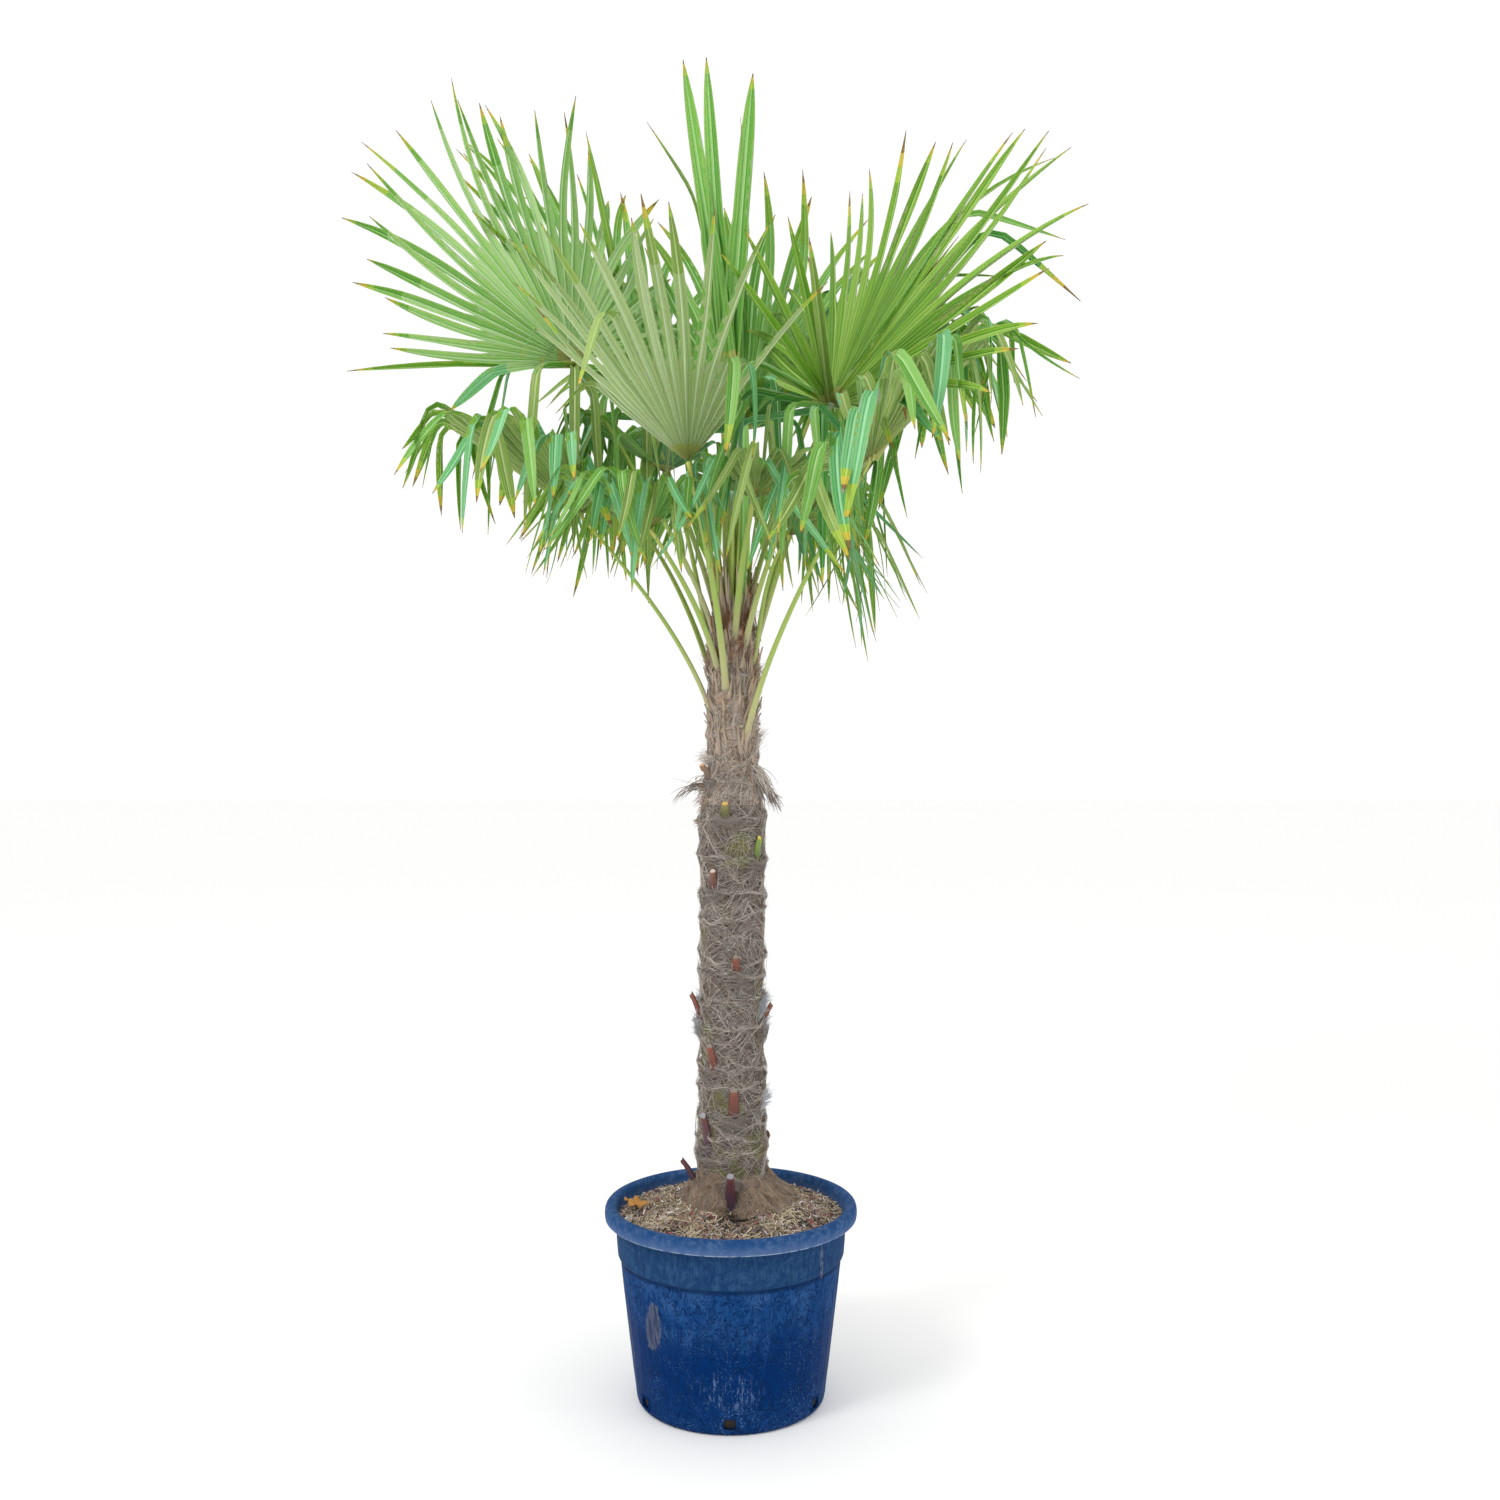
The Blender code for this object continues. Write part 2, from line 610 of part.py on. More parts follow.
obstacles = [("trunk", tree_of(trunk))]
for leaf in LEAVES:
    stop = stalk_stop(leaf)
    stalk = make_stalk(leaf, stop)
    print(stalk.name, "ends", round(stop * 1000, 1), "mm before its blade's hub")
    tree = tree_of(stalk)
    for name, other in obstacles[1:]:
        if tree.overlap(other):
            print("the stalk of", leaf.name, "meets", name)
    obstacles.append((stalk.name, tree))
plans = []
for seed, leaf in enumerate(LEAVES):
    others = [pair for pair in obstacles if pair[0] != "stalk_" + leaf.name]
    plans.append(plan_fan(leaf, seed, others))
    obstacles.append(("fan_" + leaf.name, plans[-1][3]))
for leaf, plan in zip(LEAVES, plans):
    others = [tree for name, tree in obstacles if name != "fan_" + leaf.name]
    obstacles.append(("leaflets_" + leaf.name, make_blade(leaf, plan, others)))
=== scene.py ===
# %% [markdown]
# # A windmill palm in a blue nursery pot
# This lesson dresses a palm's plain solids: a turned plastic pot, mulched soil, a trunk
# wrapped in old leaf fibre, cut leaf bases, leaf stalks and eighteen pleated fans.
# Everything is in metres. +Z is up, -Y is the plant's front, and compass angles run from
# 0 at the front, through 90 at +X, to 180 behind.

# %% Load the solids
import math
import random
from collections import namedtuple

import bmesh
import bpy
from mathutils import Matrix, Vector, noise


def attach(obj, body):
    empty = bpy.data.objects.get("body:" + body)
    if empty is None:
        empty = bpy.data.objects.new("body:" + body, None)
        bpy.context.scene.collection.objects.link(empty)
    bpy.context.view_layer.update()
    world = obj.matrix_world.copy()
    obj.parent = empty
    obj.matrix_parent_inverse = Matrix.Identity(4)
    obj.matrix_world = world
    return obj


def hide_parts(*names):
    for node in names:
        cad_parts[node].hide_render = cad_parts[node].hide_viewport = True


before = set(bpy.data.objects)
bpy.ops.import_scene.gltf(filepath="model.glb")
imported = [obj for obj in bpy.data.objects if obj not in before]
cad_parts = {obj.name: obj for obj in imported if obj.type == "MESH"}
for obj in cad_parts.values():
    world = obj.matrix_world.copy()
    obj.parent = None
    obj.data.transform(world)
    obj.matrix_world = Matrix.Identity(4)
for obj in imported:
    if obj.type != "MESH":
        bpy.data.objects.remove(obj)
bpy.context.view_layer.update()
scene = bpy.context.scene
UP = Vector((0, 0, 1))

# %% [markdown]
# Colours are easiest to name as the six hex digits of a picture editor. Blender's shaders
# work in linear light, so one function turns the digits to linear numbers. A second one
# adds any node, because a long tree is easier to read as a list of steps than as clicks.

# %% Colours and nodes
def srgb(hex_digits):
    """A colour of six sRGB hex digits, as linear red, green and blue with an alpha of 1."""
    parts = [int(hex_digits[i:i + 2], 16) / 255 for i in (1, 3, 5)]
    return (*(((c + 0.055) / 1.055) ** 2.4 if c > 0.04045 else c / 12.92 for c in parts), 1.0)


def add(tree, kind, sockets=None, **settings):
    """Adds a node. Each of its named inputs takes a value, or another node's output."""
    made = tree.nodes.new(kind)
    for name, value in settings.items():
        setattr(made, name, value)
    for key, value in (sockets or {}).items():
        if isinstance(value, bpy.types.NodeSocket):
            tree.links.new(value, made.inputs[key])
        else:
            made.inputs[key].default_value = value
    return made


def start_material(name, colour, roughness, **sockets):
    """A Principled material with these plain values, its tree and its shader."""
    material = bpy.data.materials.new(name)
    material.use_nodes = True
    material.diffuse_color = srgb(colour)
    shader = material.node_tree.nodes["Principled BSDF"]
    shader.inputs["Base Color"].default_value = srgb(colour)
    shader.inputs["Roughness"].default_value = roughness
    for key, value in sockets.items():
        shader.inputs[key.replace("_", " ")].default_value = value
    return material, material.node_tree, shader


def object_place(tree):
    """Object coordinates, so a pattern's scale is in metres on the piece."""
    return add(tree, "ShaderNodeTexCoord").outputs["Object"]


def split(tree, vector):
    """The X, Y and Z of a vector."""
    return add(tree, "ShaderNodeSeparateXYZ", {0: vector}).outputs


def relief(tree, shader, height, depth, strength=1.0):
    """Feeds a height pattern to the shader as bump of this depth in metres."""
    bump = add(tree, "ShaderNodeBump", {"Height": height, "Distance": depth, "Strength": strength})
    tree.links.new(bump.outputs[0], shader.inputs["Normal"])


def ramp(tree, factor, stops):
    """A colour ramp through stops of a place and a hex colour."""
    made = add(tree, "ShaderNodeValToRGB", {"Fac": factor})
    line = made.color_ramp.elements
    while len(line) < len(stops):
        line.new(0.5)
    for element, (place, colour) in zip(line, stops):
        element.position, element.color = place, srgb(colour)
    return made.outputs["Color"]


def blend(tree, factor, first, second):
    """Mixes two colours by a factor from 0 to 1. Each is an output or a hex colour."""
    first, second = (srgb(c) if isinstance(c, str) else c for c in (first, second))
    made = add(tree, "ShaderNodeMix", {0: factor, 6: first, 7: second}, data_type="RGBA")
    return made.outputs[2]


def sums(tree, operation, first, second=0.0, third=0.0, clamp=False):
    """A number worked out from up to three others."""
    made = add(tree, "ShaderNodeMath", {0: first, 1: second, 2: third}, operation=operation)
    made.use_clamp = clamp
    return made.outputs[0]


def between(tree, value, low, high):
    """0 where the value is at low and 1 where it is at high, eased between them."""
    made = add(tree, "ShaderNodeMapRange", {0: value, 1: low, 2: high},
               interpolation_type="SMOOTHSTEP")
    return made.outputs[0]


# %% [markdown]
# Each finished piece is one mesh whose place is in its points, so its object sits at the
# origin like a solid's. `piece` makes such a mesh from lists, and `hand_over` hangs it on the
# root body and hides the solids that it stands for.

# %% Making and handing over a piece
def placed(name, data):
    """A new object in the scene with this mesh, lamp or camera."""
    obj = bpy.data.objects.new(name, data)
    scene.collection.objects.link(obj)
    return obj


def piece(name, points, faces, materials, kinds=None, uvs=None):
    """A smooth-shaded mesh object. kinds gives each face its material's number."""
    mesh = bpy.data.meshes.new(name)
    mesh.from_pydata(points, [], faces)
    for material in materials:
        mesh.materials.append(material)
    if kinds:
        mesh.polygons.foreach_set("material_index", kinds)
    if uvs:
        layer = mesh.uv_layers.new(name="along")
        layer.data.foreach_set("uv", [n for pair in uvs for n in pair])
    mesh.polygons.foreach_set("use_smooth", [True] * len(faces))
    mesh.update()
    return placed(name, mesh)


def hand_over(obj, finish, *solids):
    """Hangs a piece on the root body, hides the solids it stands for and prints its triangles. Its
    finish is not used.
    """
    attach(obj, "root")
    if solids:
        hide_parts(*solids)
    count = sum(len(face.vertices) - 2 for face in obj.data.polygons)
    print(obj.name, "has", count, "triangles")


def ring_faces(faces, a, b, count):
    """Adds the faces between two rings of points, whose first points are a and b."""
    for k in range(count):
        j = (k + 1) % count
        faces.append((a + k, a + j, b + j, b + k))


def evaluated_mesh(obj):
    """A new mesh of the object as its modifiers leave it."""
    bpy.context.view_layer.update()
    graph = bpy.context.evaluated_depsgraph_get()
    return bpy.data.meshes.new_from_object(obj.evaluated_get(graph), depsgraph=graph)


def as_plain_mesh(obj):
    """The object with its modifiers made into its mesh."""
    mesh = evaluated_mesh(obj)
    obj.modifiers.clear()
    obj.data = mesh
    return obj


def ease(t):
    """0 up to a share of 0 and 1 from a share of 1, with a soft start and end."""
    t = min(1.0, max(0.0, t))
    return t * t * (3 - 2 * t)


def about_axis(radius, angle, z, shift=0.0):
    """The point this far from the upright axis, at an angle from the front in radians."""
    return (shift + radius * math.sin(angle), -radius * math.cos(angle), z)


def compass(azimuth, lift=0.0):
    """The unit vector at this compass angle, raised by lift degrees."""
    a, e = math.radians(azimuth), math.radians(lift)
    return Vector((math.cos(e) * math.sin(a), -math.cos(e) * math.cos(a), math.sin(e)))


# %% [markdown]
# The stage is a pale floor under an even white sky, with one broad soft lamp above the
# left shoulder and a weaker one on the right. The camera stands level at 1.66 m, 3.85 m
# before the pot. A level camera keeps the trunk upright, and a small lens shift lowers
# the frame to take in the pot, as an architect's camera does.

# %% Floor, light and camera
FLOOR_SIZE = 60.0
floor_material, tree, shader = start_material("matt white studio floor", "#fafaf9", 0.9)
half = FLOOR_SIZE / 2
corners = [(-half, -half, 0), (half, -half, 0), (half, half, 0), (-half, half, 0)]
floor = piece("studio_floor", corners, [(0, 1, 2, 3)], [floor_material])

world = bpy.data.worlds.new("even white sky")
scene.world = world
world.use_nodes = True
world.node_tree.nodes["Background"].inputs[0].default_value = (1.0, 1.0, 1.0, 1)
world.node_tree.nodes["Background"].inputs[1].default_value = 1.03
scene.view_settings.view_transform = "Standard"


def soft_lamp(name, place, target, size, watts):
    lamp = bpy.data.lights.new(name, "AREA")
    lamp.shape, lamp.size, lamp.energy = "DISK", size, watts
    obj = placed(name, lamp)
    obj.location = place
    obj.rotation_euler = (Vector(place) - Vector(target)).to_track_quat("Z", "Y").to_euler()


soft_lamp("key lamp", (-3.2, -3.4, 5.2), (0, 0, 1.6), 1.8, 120)
soft_lamp("fill lamp", (4.0, -2.2, 3.0), (0, 0, 1.8), 2.4, 26)

PICTURE = 1500
LENS_PIXELS = 1557
HORIZON = 723
CAMERA_PLACE = (0.047, -3.85, 1.66)
view = bpy.data.cameras.new("front view")
view.sensor_width = 36
view.lens = 36 * LENS_PIXELS / PICTURE
view.shift_y = (HORIZON - PICTURE / 2) / PICTURE
camera = placed("front view", view)
camera.location = CAMERA_PLACE
camera.rotation_euler = (math.radians(90), 0, 0)
scene.camera = camera
print("The lens is", round(view.lens, 2), "mm, shifted by", round(view.shift_y, 4))

# %% [markdown]
# ## The pot
# The real pot is blown or injected blue polypropylene: a tapered wall, a collar band
# that steps out under the rim, a thick rolled rim, faint upright ribs, and drain holes
# at the foot. It could be a Screw modifier on a profile. Here the profile is turned by a
# loop, because the ribs then come from one line that moves each point in or out.

# %% The pot's sizes
POT_HEIGHT = 0.480
FOOT_RADIUS = 0.232
FLOOR_THICK = 0.012
DRAIN_HOLES = 6
TURNS = 288
RIBS = 36
RIB_HEIGHT = 0.0011
COLLAR_FOOT = 0.352
RIM_FOOT = 0.4425

OUTSIDE = [
    (0.0, 0.0), (0.120, 0.0), (0.216, 0.0), (0.2225, 0.0008), (0.2275, 0.0040), (0.2305, 0.0090),
    (0.2325, 0.0180), (0.2350, 0.0400), (0.2410, 0.0900), (0.2530, 0.1900), (0.2650, 0.2900),
    (0.2717, 0.3460), (0.2723, 0.3515), (0.2742, 0.3545), (0.2770, 0.3565), (0.2784, 0.3600),
    (0.2790, 0.3660), (0.2810, 0.3900), (0.2832, 0.4300), (0.2838, 0.4400), (0.2850, 0.4432),
    (0.2900, 0.4438), (0.3030, 0.4432), (0.3068, 0.4440), (0.3093, 0.4465), (0.3103, 0.4520),
    (0.3108, 0.4600), (0.3100, 0.4680), (0.3080, 0.4735), (0.3045, 0.4775), (0.2995, 0.4797),
    (0.2940, 0.4800), (0.2880, 0.4785), (0.2830, 0.4745), (0.2800, 0.4690), (0.2785, 0.4600),
    (0.2768, 0.4480), (0.2752, 0.4380), (0.2733, 0.3680), (0.2702, 0.3590), (0.2664, 0.3500),
    (0.2280, 0.0200), (0.2200, 0.0120), (0.1200, 0.0120), (0.0, 0.0120),
]


def turn(profile, steps, outwards=lambda r, z, angle: r):
    """Points and faces of a profile of (radius, height) turned about Z, closed at its axis."""
    points, faces, rings = [], [], []
    for radius, z in profile:
        if radius == 0:
            rings.append([len(points)] * steps)
            points.append((0, 0, z))
            continue
        rings.append(range(len(points), len(points) + steps))
        for k in range(steps):
            angle = 2 * math.pi * k / steps
            r = outwards(radius, z, angle)
            points.append(about_axis(r, angle, z))
    for below, above in zip(rings, rings[1:]):
        for k in range(steps):
            j = (k + 1) % steps
            corners = dict.fromkeys((below[k], below[j], above[j], above[k]))
            faces.append(tuple(corners))
    return points, faces


def ribbed(radius, z, angle):
    """The outer wall between foot and collar stands out a little at each upright rib."""
    if not 0.03 < z < 0.348 or radius < 0.234 + (z - 0.03) * 0.09:
        return radius
    off = (angle * RIBS / (2 * math.pi) + 0.5) % 1.0 - 0.5
    fade = ease((z - 0.03) / 0.05) * ease((0.346 - z) / 0.02 + 0.4)
    return radius + RIB_HEIGHT * fade * max(0.0, 1 - abs(off) / 0.16)


# %% [markdown]
# Weathered polypropylene is a deep even blue where rain keeps it clean, and paler where
# dust and lime dry on it: in patches on the rim, on the collar and under the collar, where
# the runs end in ragged tongues. The rim's lower part and a thin line on its lower edge are
# painted highlight, and a painted shade line lies under the collar's step. Dark veins mark
# where drops ran through the dust, and pale specks are splashed soil. A long grey-brown
# scuff marks where the pot was dragged.
# All of it is patterned in Object coordinates. The surface is nearly matt.

# %% The pot's plastic
pot_plastic, tree, shader = start_material("weathered blue polypropylene", "#0a3268", 0.5,
                                           Specular_IOR_Level=0.02)
place = object_place(tree)
axes = split(tree, place)


def noise_of(tree, place, scale, detail=4.0, stretch=(1, 1, 1), roughness=0.55, warp=0.0):
    """Noise of this many features a metre, stretched along the axes."""
    moved = add(tree, "ShaderNodeMapping", {"Vector": place, "Scale": stretch})
    made = add(tree, "ShaderNodeTexNoise", {
        "Vector": moved.outputs[0], "Scale": scale, "Detail": detail,
        "Roughness": roughness, "Distortion": warp})
    return made.outputs[0]


def product(tree, *factors):
    """The product of several values."""
    result = factors[0]
    for factor in factors[1:]:
        result = sums(tree, "MULTIPLY", result, factor)
    return result


def spot(tree, axes, centre, size):
    """1 at a centre in X and Z on the plant's front, falling to 0 at its edge."""
    across = sums(tree, "DIVIDE", sums(tree, "SUBTRACT", axes[0], centre[0]), size[0])
    upward = sums(tree, "DIVIDE", sums(tree, "SUBTRACT", axes[2], centre[1]), size[1])
    reach = sums(tree, "ADD", product(tree, across, across), product(tree, upward, upward))
    front = between(tree, axes[1], 0.02, -0.02)
    return product(tree, sums(tree, "SUBTRACT", 1.0, reach, clamp=True), front)


blotches = noise_of(tree, place, 14, 5)
runs = noise_of(tree, place, 30, 5, stretch=(1, 1, 0.25))
veins = noise_of(tree, place, 34, 3, stretch=(1, 1, 0.6), warp=2.4)
specks = noise_of(tree, place, 260, 3)
grime = noise_of(tree, place, 60, 6, roughness=0.7)
streaks = noise_of(tree, place, 150, 4, stretch=(1, 1, 0.12))
# Dust lies thick under the collar and thins out downwards in tongues
fall = sums(tree, "MULTIPLY_ADD", runs, 0.22, axes[2])
dusty = between(tree, fall, 0.285, 0.425)
low_fall = sums(tree, "MULTIPLY_ADD", runs, 0.16, product(tree, axes[2], -1.0))
dust = sums(tree, "MAXIMUM", dusty, product(tree, between(tree, low_fall, -0.05, 0.06), 0.30))
dust = product(tree, dust, sums(tree, "MULTIPLY_ADD", between(tree, grime, 0.30, 0.60), 0.75, 0.25))
colour = blend(tree, dust, "#022b60", "#1d467a")
colour = blend(tree, product(tree, dust, between(tree, blotches, 0.42, 0.62), 0.50), colour, "#36598b")
# Veins: a thin line wherever a warped noise crosses its middle
line = between(tree, sums(tree, "ABSOLUTE", sums(tree, "SUBTRACT", veins, 0.5)), 0.055, 0.012)
colour = blend(tree, product(tree, line, 0.85), colour, "#06234c")
speckled = product(tree, between(tree, specks, 0.57, 0.70), between(tree, blotches, 0.38, 0.60))
more_below = sums(tree, "MULTIPLY_ADD", between(tree, axes[2], 0.30, 0.05), 0.45, 0.20)
speckled = product(tree, speckled, more_below)
colour = blend(tree, speckled, colour, "#6687b1")
# The collar is greyer, over a painted shade line under its step, and the rim is painted paler below as
# a highlight
painted_shade_under_collar = product(tree, between(tree, axes[2], COLLAR_FOOT - 0.014, COLLAR_FOOT - 0.004),
                     between(tree, axes[2], COLLAR_FOOT + 0.006, COLLAR_FOOT), 0.7)
colour = blend(tree, painted_shade_under_collar, colour, "#081f40")
on_collar = between(tree, axes[2], COLLAR_FOOT, COLLAR_FOOT + 0.005)
worn = sums(tree, "MULTIPLY_ADD", between(tree, grime, 0.35, 0.65), 0.6, 0.2)
collar = blend(tree, worn, "#113460", "#335378")
collar = blend(tree, product(tree, between(tree, streaks, 0.50, 0.62), 0.45), collar, "#0e2a50")
colour = blend(tree, on_collar, colour, collar)
colour = blend(tree, product(tree, on_collar, line, 0.5), colour, "#122f57")
on_rim = between(tree, axes[2], RIM_FOOT, RIM_FOOT + 0.0035)
# This runs from 0 at the rim's foot to 1 at its top
upward = sums(tree, "MULTIPLY_ADD", axes[2], 28.0, -12.4)
# Painted highlight: the rim is pale at its foot and darkens towards its top
rim = ramp(tree, upward, [(0.02, "#566d95"), (0.30, "#415a86"), (0.62, "#274a78"),
                          (0.98, "#1d4271")])
rim = blend(tree, product(tree, between(tree, grime, 0.40, 0.70), 0.45), rim, "#5f769b")
colour = blend(tree, on_rim, colour, rim)
# A thin painted highlight along the rim's lower edge, broken into patches by noise
lower_edge = product(tree, between(tree, axes[2], RIM_FOOT, RIM_FOOT + 0.0015),
                     between(tree, axes[2], RIM_FOOT + 0.005, RIM_FOOT + 0.0035))
painted_edge_highlight = product(tree, lower_edge, between(tree, grime, 0.40, 0.55), 0.8)
colour = blend(tree, painted_edge_highlight, colour, "#a3b3c9")
# Limescale smears low on the front, a rusty drip on the collar and the scuff on the left
SMEAR, DRIP, SCUFF = (-0.010, 0.105), (0.216, 0.386), (-0.181, 0.238)
smear = between(tree, spot(tree, axes, SMEAR, (0.105, 0.060)), 0.0, 0.9)
smear = product(tree, smear, between(tree, streaks, 0.50, 0.66), between(tree, grime, 0.42, 0.56))
colour = blend(tree, product(tree, smear, 0.50), colour, "#6a84aa")
drip = spot(tree, axes, DRIP, (0.0045, 0.052))
drip = product(tree, between(tree, drip, 0.05, 0.45), between(tree, grime, 0.36, 0.50))
colour = blend(tree, product(tree, drip, 0.28), colour, "#8d8387")
scuff = spot(tree, axes, SCUFF, (0.022, 0.070))
ragged = sums(tree, "MULTIPLY_ADD", grime, 1.6, -0.80)
scuff = between(tree, sums(tree, "ADD", scuff, ragged), 0.16, 0.34)
scuff = product(tree, scuff, between(tree, spot(tree, axes, SCUFF, (0.030, 0.082)), 0.0, 0.1))
scuffed = blend(tree, between(tree, streaks, 0.40, 0.62), "#333d56", "#575c70")
colour = blend(tree, product(tree, scuff, 0.9), colour, scuffed)
tree.links.new(colour, shader.inputs["Base Color"])
tree.links.new(sums(tree, "MULTIPLY_ADD", dust, 0.25, 0.42), shader.inputs["Roughness"])
relief(tree, shader, sums(tree, "ADD", grime, blotches), 0.0008, 0.6)

# %% Turn the pot and cut its drain holes
points, faces = turn(OUTSIDE, TURNS, ribbed)
pot = piece("nursery_pot", points, faces, [pot_plastic])


def block(name, size, place, angle, rounding):
    """A box with rounded edges, turned about Z by a compass angle."""
    mesh = bpy.data.meshes.new(name)
    bm = bmesh.new()
    bmesh.ops.create_cube(bm, size=1)
    bmesh.ops.scale(bm, vec=size, verts=bm.verts)
    bmesh.ops.bevel(bm, geom=list(bm.edges), offset=rounding, segments=2, affect="EDGES")
    spin = Matrix.Translation(place) @ Matrix.Rotation(math.radians(angle), 4, "Z")
    bmesh.ops.transform(bm, matrix=spin, verts=bm.verts)
    bm.to_mesh(mesh)
    bm.free()
    return placed(name, mesh)


def cut(obj, cutter):
    boolean = obj.modifiers.new(cutter.name, "BOOLEAN")
    boolean.operation, boolean.solver, boolean.object = "DIFFERENCE", "EXACT", cutter


# A hole's width, the depth of its cutter and its height, and how far up it stands
HOLE = (0.028, 0.050, 0.024)
HOLE_HEIGHT = 0.030
hole_cutters = []
for k in range(DRAIN_HOLES):
    angle = k * 360 / DRAIN_HOLES
    centre = compass(angle) * (FOOT_RADIUS + 0.001) + UP * HOLE_HEIGHT
    hole_cutters.append(block("drain_hole_%d" % (k + 1), HOLE, centre, angle, 0.003))
    cut(pot, hole_cutters[-1])
as_plain_mesh(pot)
for cutter in hole_cutters:
    bpy.data.objects.remove(cutter)
pot.data.set_sharp_from_angle(angle=math.radians(40))
hand_over(pot, "blue_plastic", "pot")

# %% [markdown]
# Each drain hole has a thin raised lip, left by the mould's sliding core. Four small bars
# round each hole make it, sunk into the wall and standing 1.5 mm proud.

# %% Lips round the drain holes
LIP = 0.0035
LIP_DEEP = 0.006
LIP_SUNK = 0.0018
WALL_SLOPE = 0.118
lips = []
for k in range(DRAIN_HOLES):
    angle = k * 360 / DRAIN_HOLES
    out, side = compass(angle), compass(angle + 90)
    for across, rise in ((0, 1), (0, -1), (1, 0), (-1, 0)):
        size = (HOLE[0] + 2 * LIP if rise else LIP, LIP_DEEP, LIP if rise else HOLE[2] + 2 * LIP)
        z = HOLE_HEIGHT + rise * (HOLE[2] + LIP) / 2
        radius = FOOT_RADIUS + 0.0010 + (z - 0.018) * WALL_SLOPE
        centre = out * (radius - LIP_SUNK) + side * across * (HOLE[0] + LIP) / 2 + UP * z
        lips.append(block("lip", size, centre, angle, 0.001))
bm = bmesh.new()
for lip in lips:
    bm.from_mesh(lip.data)
    bpy.data.objects.remove(lip)
mesh = bpy.data.meshes.new("drain_hole_lips")
bm.to_mesh(mesh)
bm.free()
mesh.materials.append(pot_plastic)
drain_lips = placed("drain_hole_lips", mesh)
hand_over(drain_lips, "blue_plastic")

# %% [markdown]
# ## The soil
# The pot is full of bark compost with a mulch of chopped straw, wood chips and bark. Its
# top is a shallow mound, lumpy by a few millimetres, made as rings of points moved by
# noise. Thousands of loose pieces lie on it. Geometry Nodes scatter them, one run of the
# same tree for each colour, because the tree gives each run one material.

# %% The mound of compost
SOIL_TOP = 0.490
SOIL_EDGE = POT_HEIGHT - 0.026
SOIL_RADIUS = 0.2745
GAP = 0.0003
MOUND_WIDE = 0.150
LUMPS = 0.007
SMALL_LUMPS = 0.0045
HOLLOW = (0.006, -0.132)
HOLLOW_RADIUS = 0.062
HOLLOW_DEEP = 0.028


def soil_height(radius, angle):
    """The mound's height, with its lumps and the hollow before the lowest leaf base."""
    level = SOIL_EDGE + (SOIL_TOP - SOIL_EDGE) * ease((SOIL_RADIUS - radius) / MOUND_WIDE)
    place = Vector(about_axis(radius, angle, 0))
    lumps = LUMPS * noise.noise(place * 16) + SMALL_LUMPS * noise.noise(place * 45)
    hollow = max(0.0, 1 - math.hypot(place.x - HOLLOW[0], (place.y - HOLLOW[1]) * 1.25) / HOLLOW_RADIUS)
    level -= HOLLOW_DEEP * ease(hollow)
    return level + lumps * ease((SOIL_RADIUS - radius) / 0.02) - 0.004


compost, tree, shader = start_material("damp bark compost", "#4a3d34", 0.95)
place = object_place(tree)
crumbs = noise_of(tree, place, 160, 6, roughness=0.7)
drier = noise_of(tree, place, 11, 3)
colour = blend(tree, between(tree, crumbs, 0.40, 0.62), "#272120", "#7f7470")
colour = blend(tree, product(tree, between(tree, drier, 0.42, 0.62), 0.5), colour, "#8c7f76")
axes = split(tree, place)
# Painted shade: it is darker in the hollow before the lowest leaf base and low down, where the drain
# holes show it
painted_soil_shade = add(tree, "ShaderNodeVectorMath", {0: place, 1: (0.006, -0.128, 0.470)}, operation="DISTANCE")
painted_soil_shade = painted_soil_shade.outputs["Value"]
painted_soil_shade = sums(tree, "MAXIMUM", between(tree, painted_soil_shade, 0.074, 0.040), between(tree, axes[2], 0.10, 0.06))
colour = blend(tree, product(tree, painted_soil_shade, 0.85), colour, "#15110f")
tree.links.new(colour, shader.inputs["Base Color"])
relief(tree, shader, crumbs, 0.004)

SOIL_SPOKES = 150
rings = 56
profile = [(0.0, 0.0)] + [(SOIL_RADIUS * (k / rings) ** 0.8, 0.0) for k in range(1, rings + 1)]
points, faces = turn(profile, SOIL_SPOKES)
top = [(x, y, soil_height(math.hypot(x, y), math.atan2(x, -y))) for x, y, _ in points]
side, walls = turn([(SOIL_RADIUS, SOIL_EDGE - 0.004), (SOIL_RADIUS - 0.003, 0.436),
                    (0.2722, 0.369), (0.2655, 0.350), (0.2275, 0.021),
                    (0.2195, FLOOR_THICK + GAP), (0.0, FLOOR_THICK + GAP)], SOIL_SPOKES)
first = len(top) - SOIL_SPOKES
walls = [tuple(first + i for i in face) for face in walls]
faces = [tuple(reversed(face)) for face in faces + walls]
soil = piece("mound_of_compost", top + side[SOIL_SPOKES:], faces, [compost])
hand_over(soil, "mulch", "potting_soil")

# %% [markdown]
# A scatter tree puts points on the surface, sets a small block on each, turns it about
# the upright and tips it a little, then bends its corners with noise so that no two
# match. Each block has six faces, since there are thousands of them.

# %% The scatter tree
def new_tree(name, sizes):
    """A Geometry Nodes tree with these sizes, a seed and a material as its inputs."""
    tree = bpy.data.node_groups.new(name, "GeometryNodeTree")
    tree.interface.new_socket(name="Geometry", in_out="INPUT", socket_type="NodeSocketGeometry")
    kinds = [(label, "Float") for label in sizes.split()] + [("Seed", "Int"), ("Material", "Material")]
    for label, kind in kinds:
        tree.interface.new_socket(name=label, in_out="INPUT", socket_type="NodeSocket" + kind)
    tree.interface.new_socket(name="Geometry", in_out="OUTPUT", socket_type="NodeSocketGeometry")
    return tree, add(tree, "NodeGroupInput").outputs


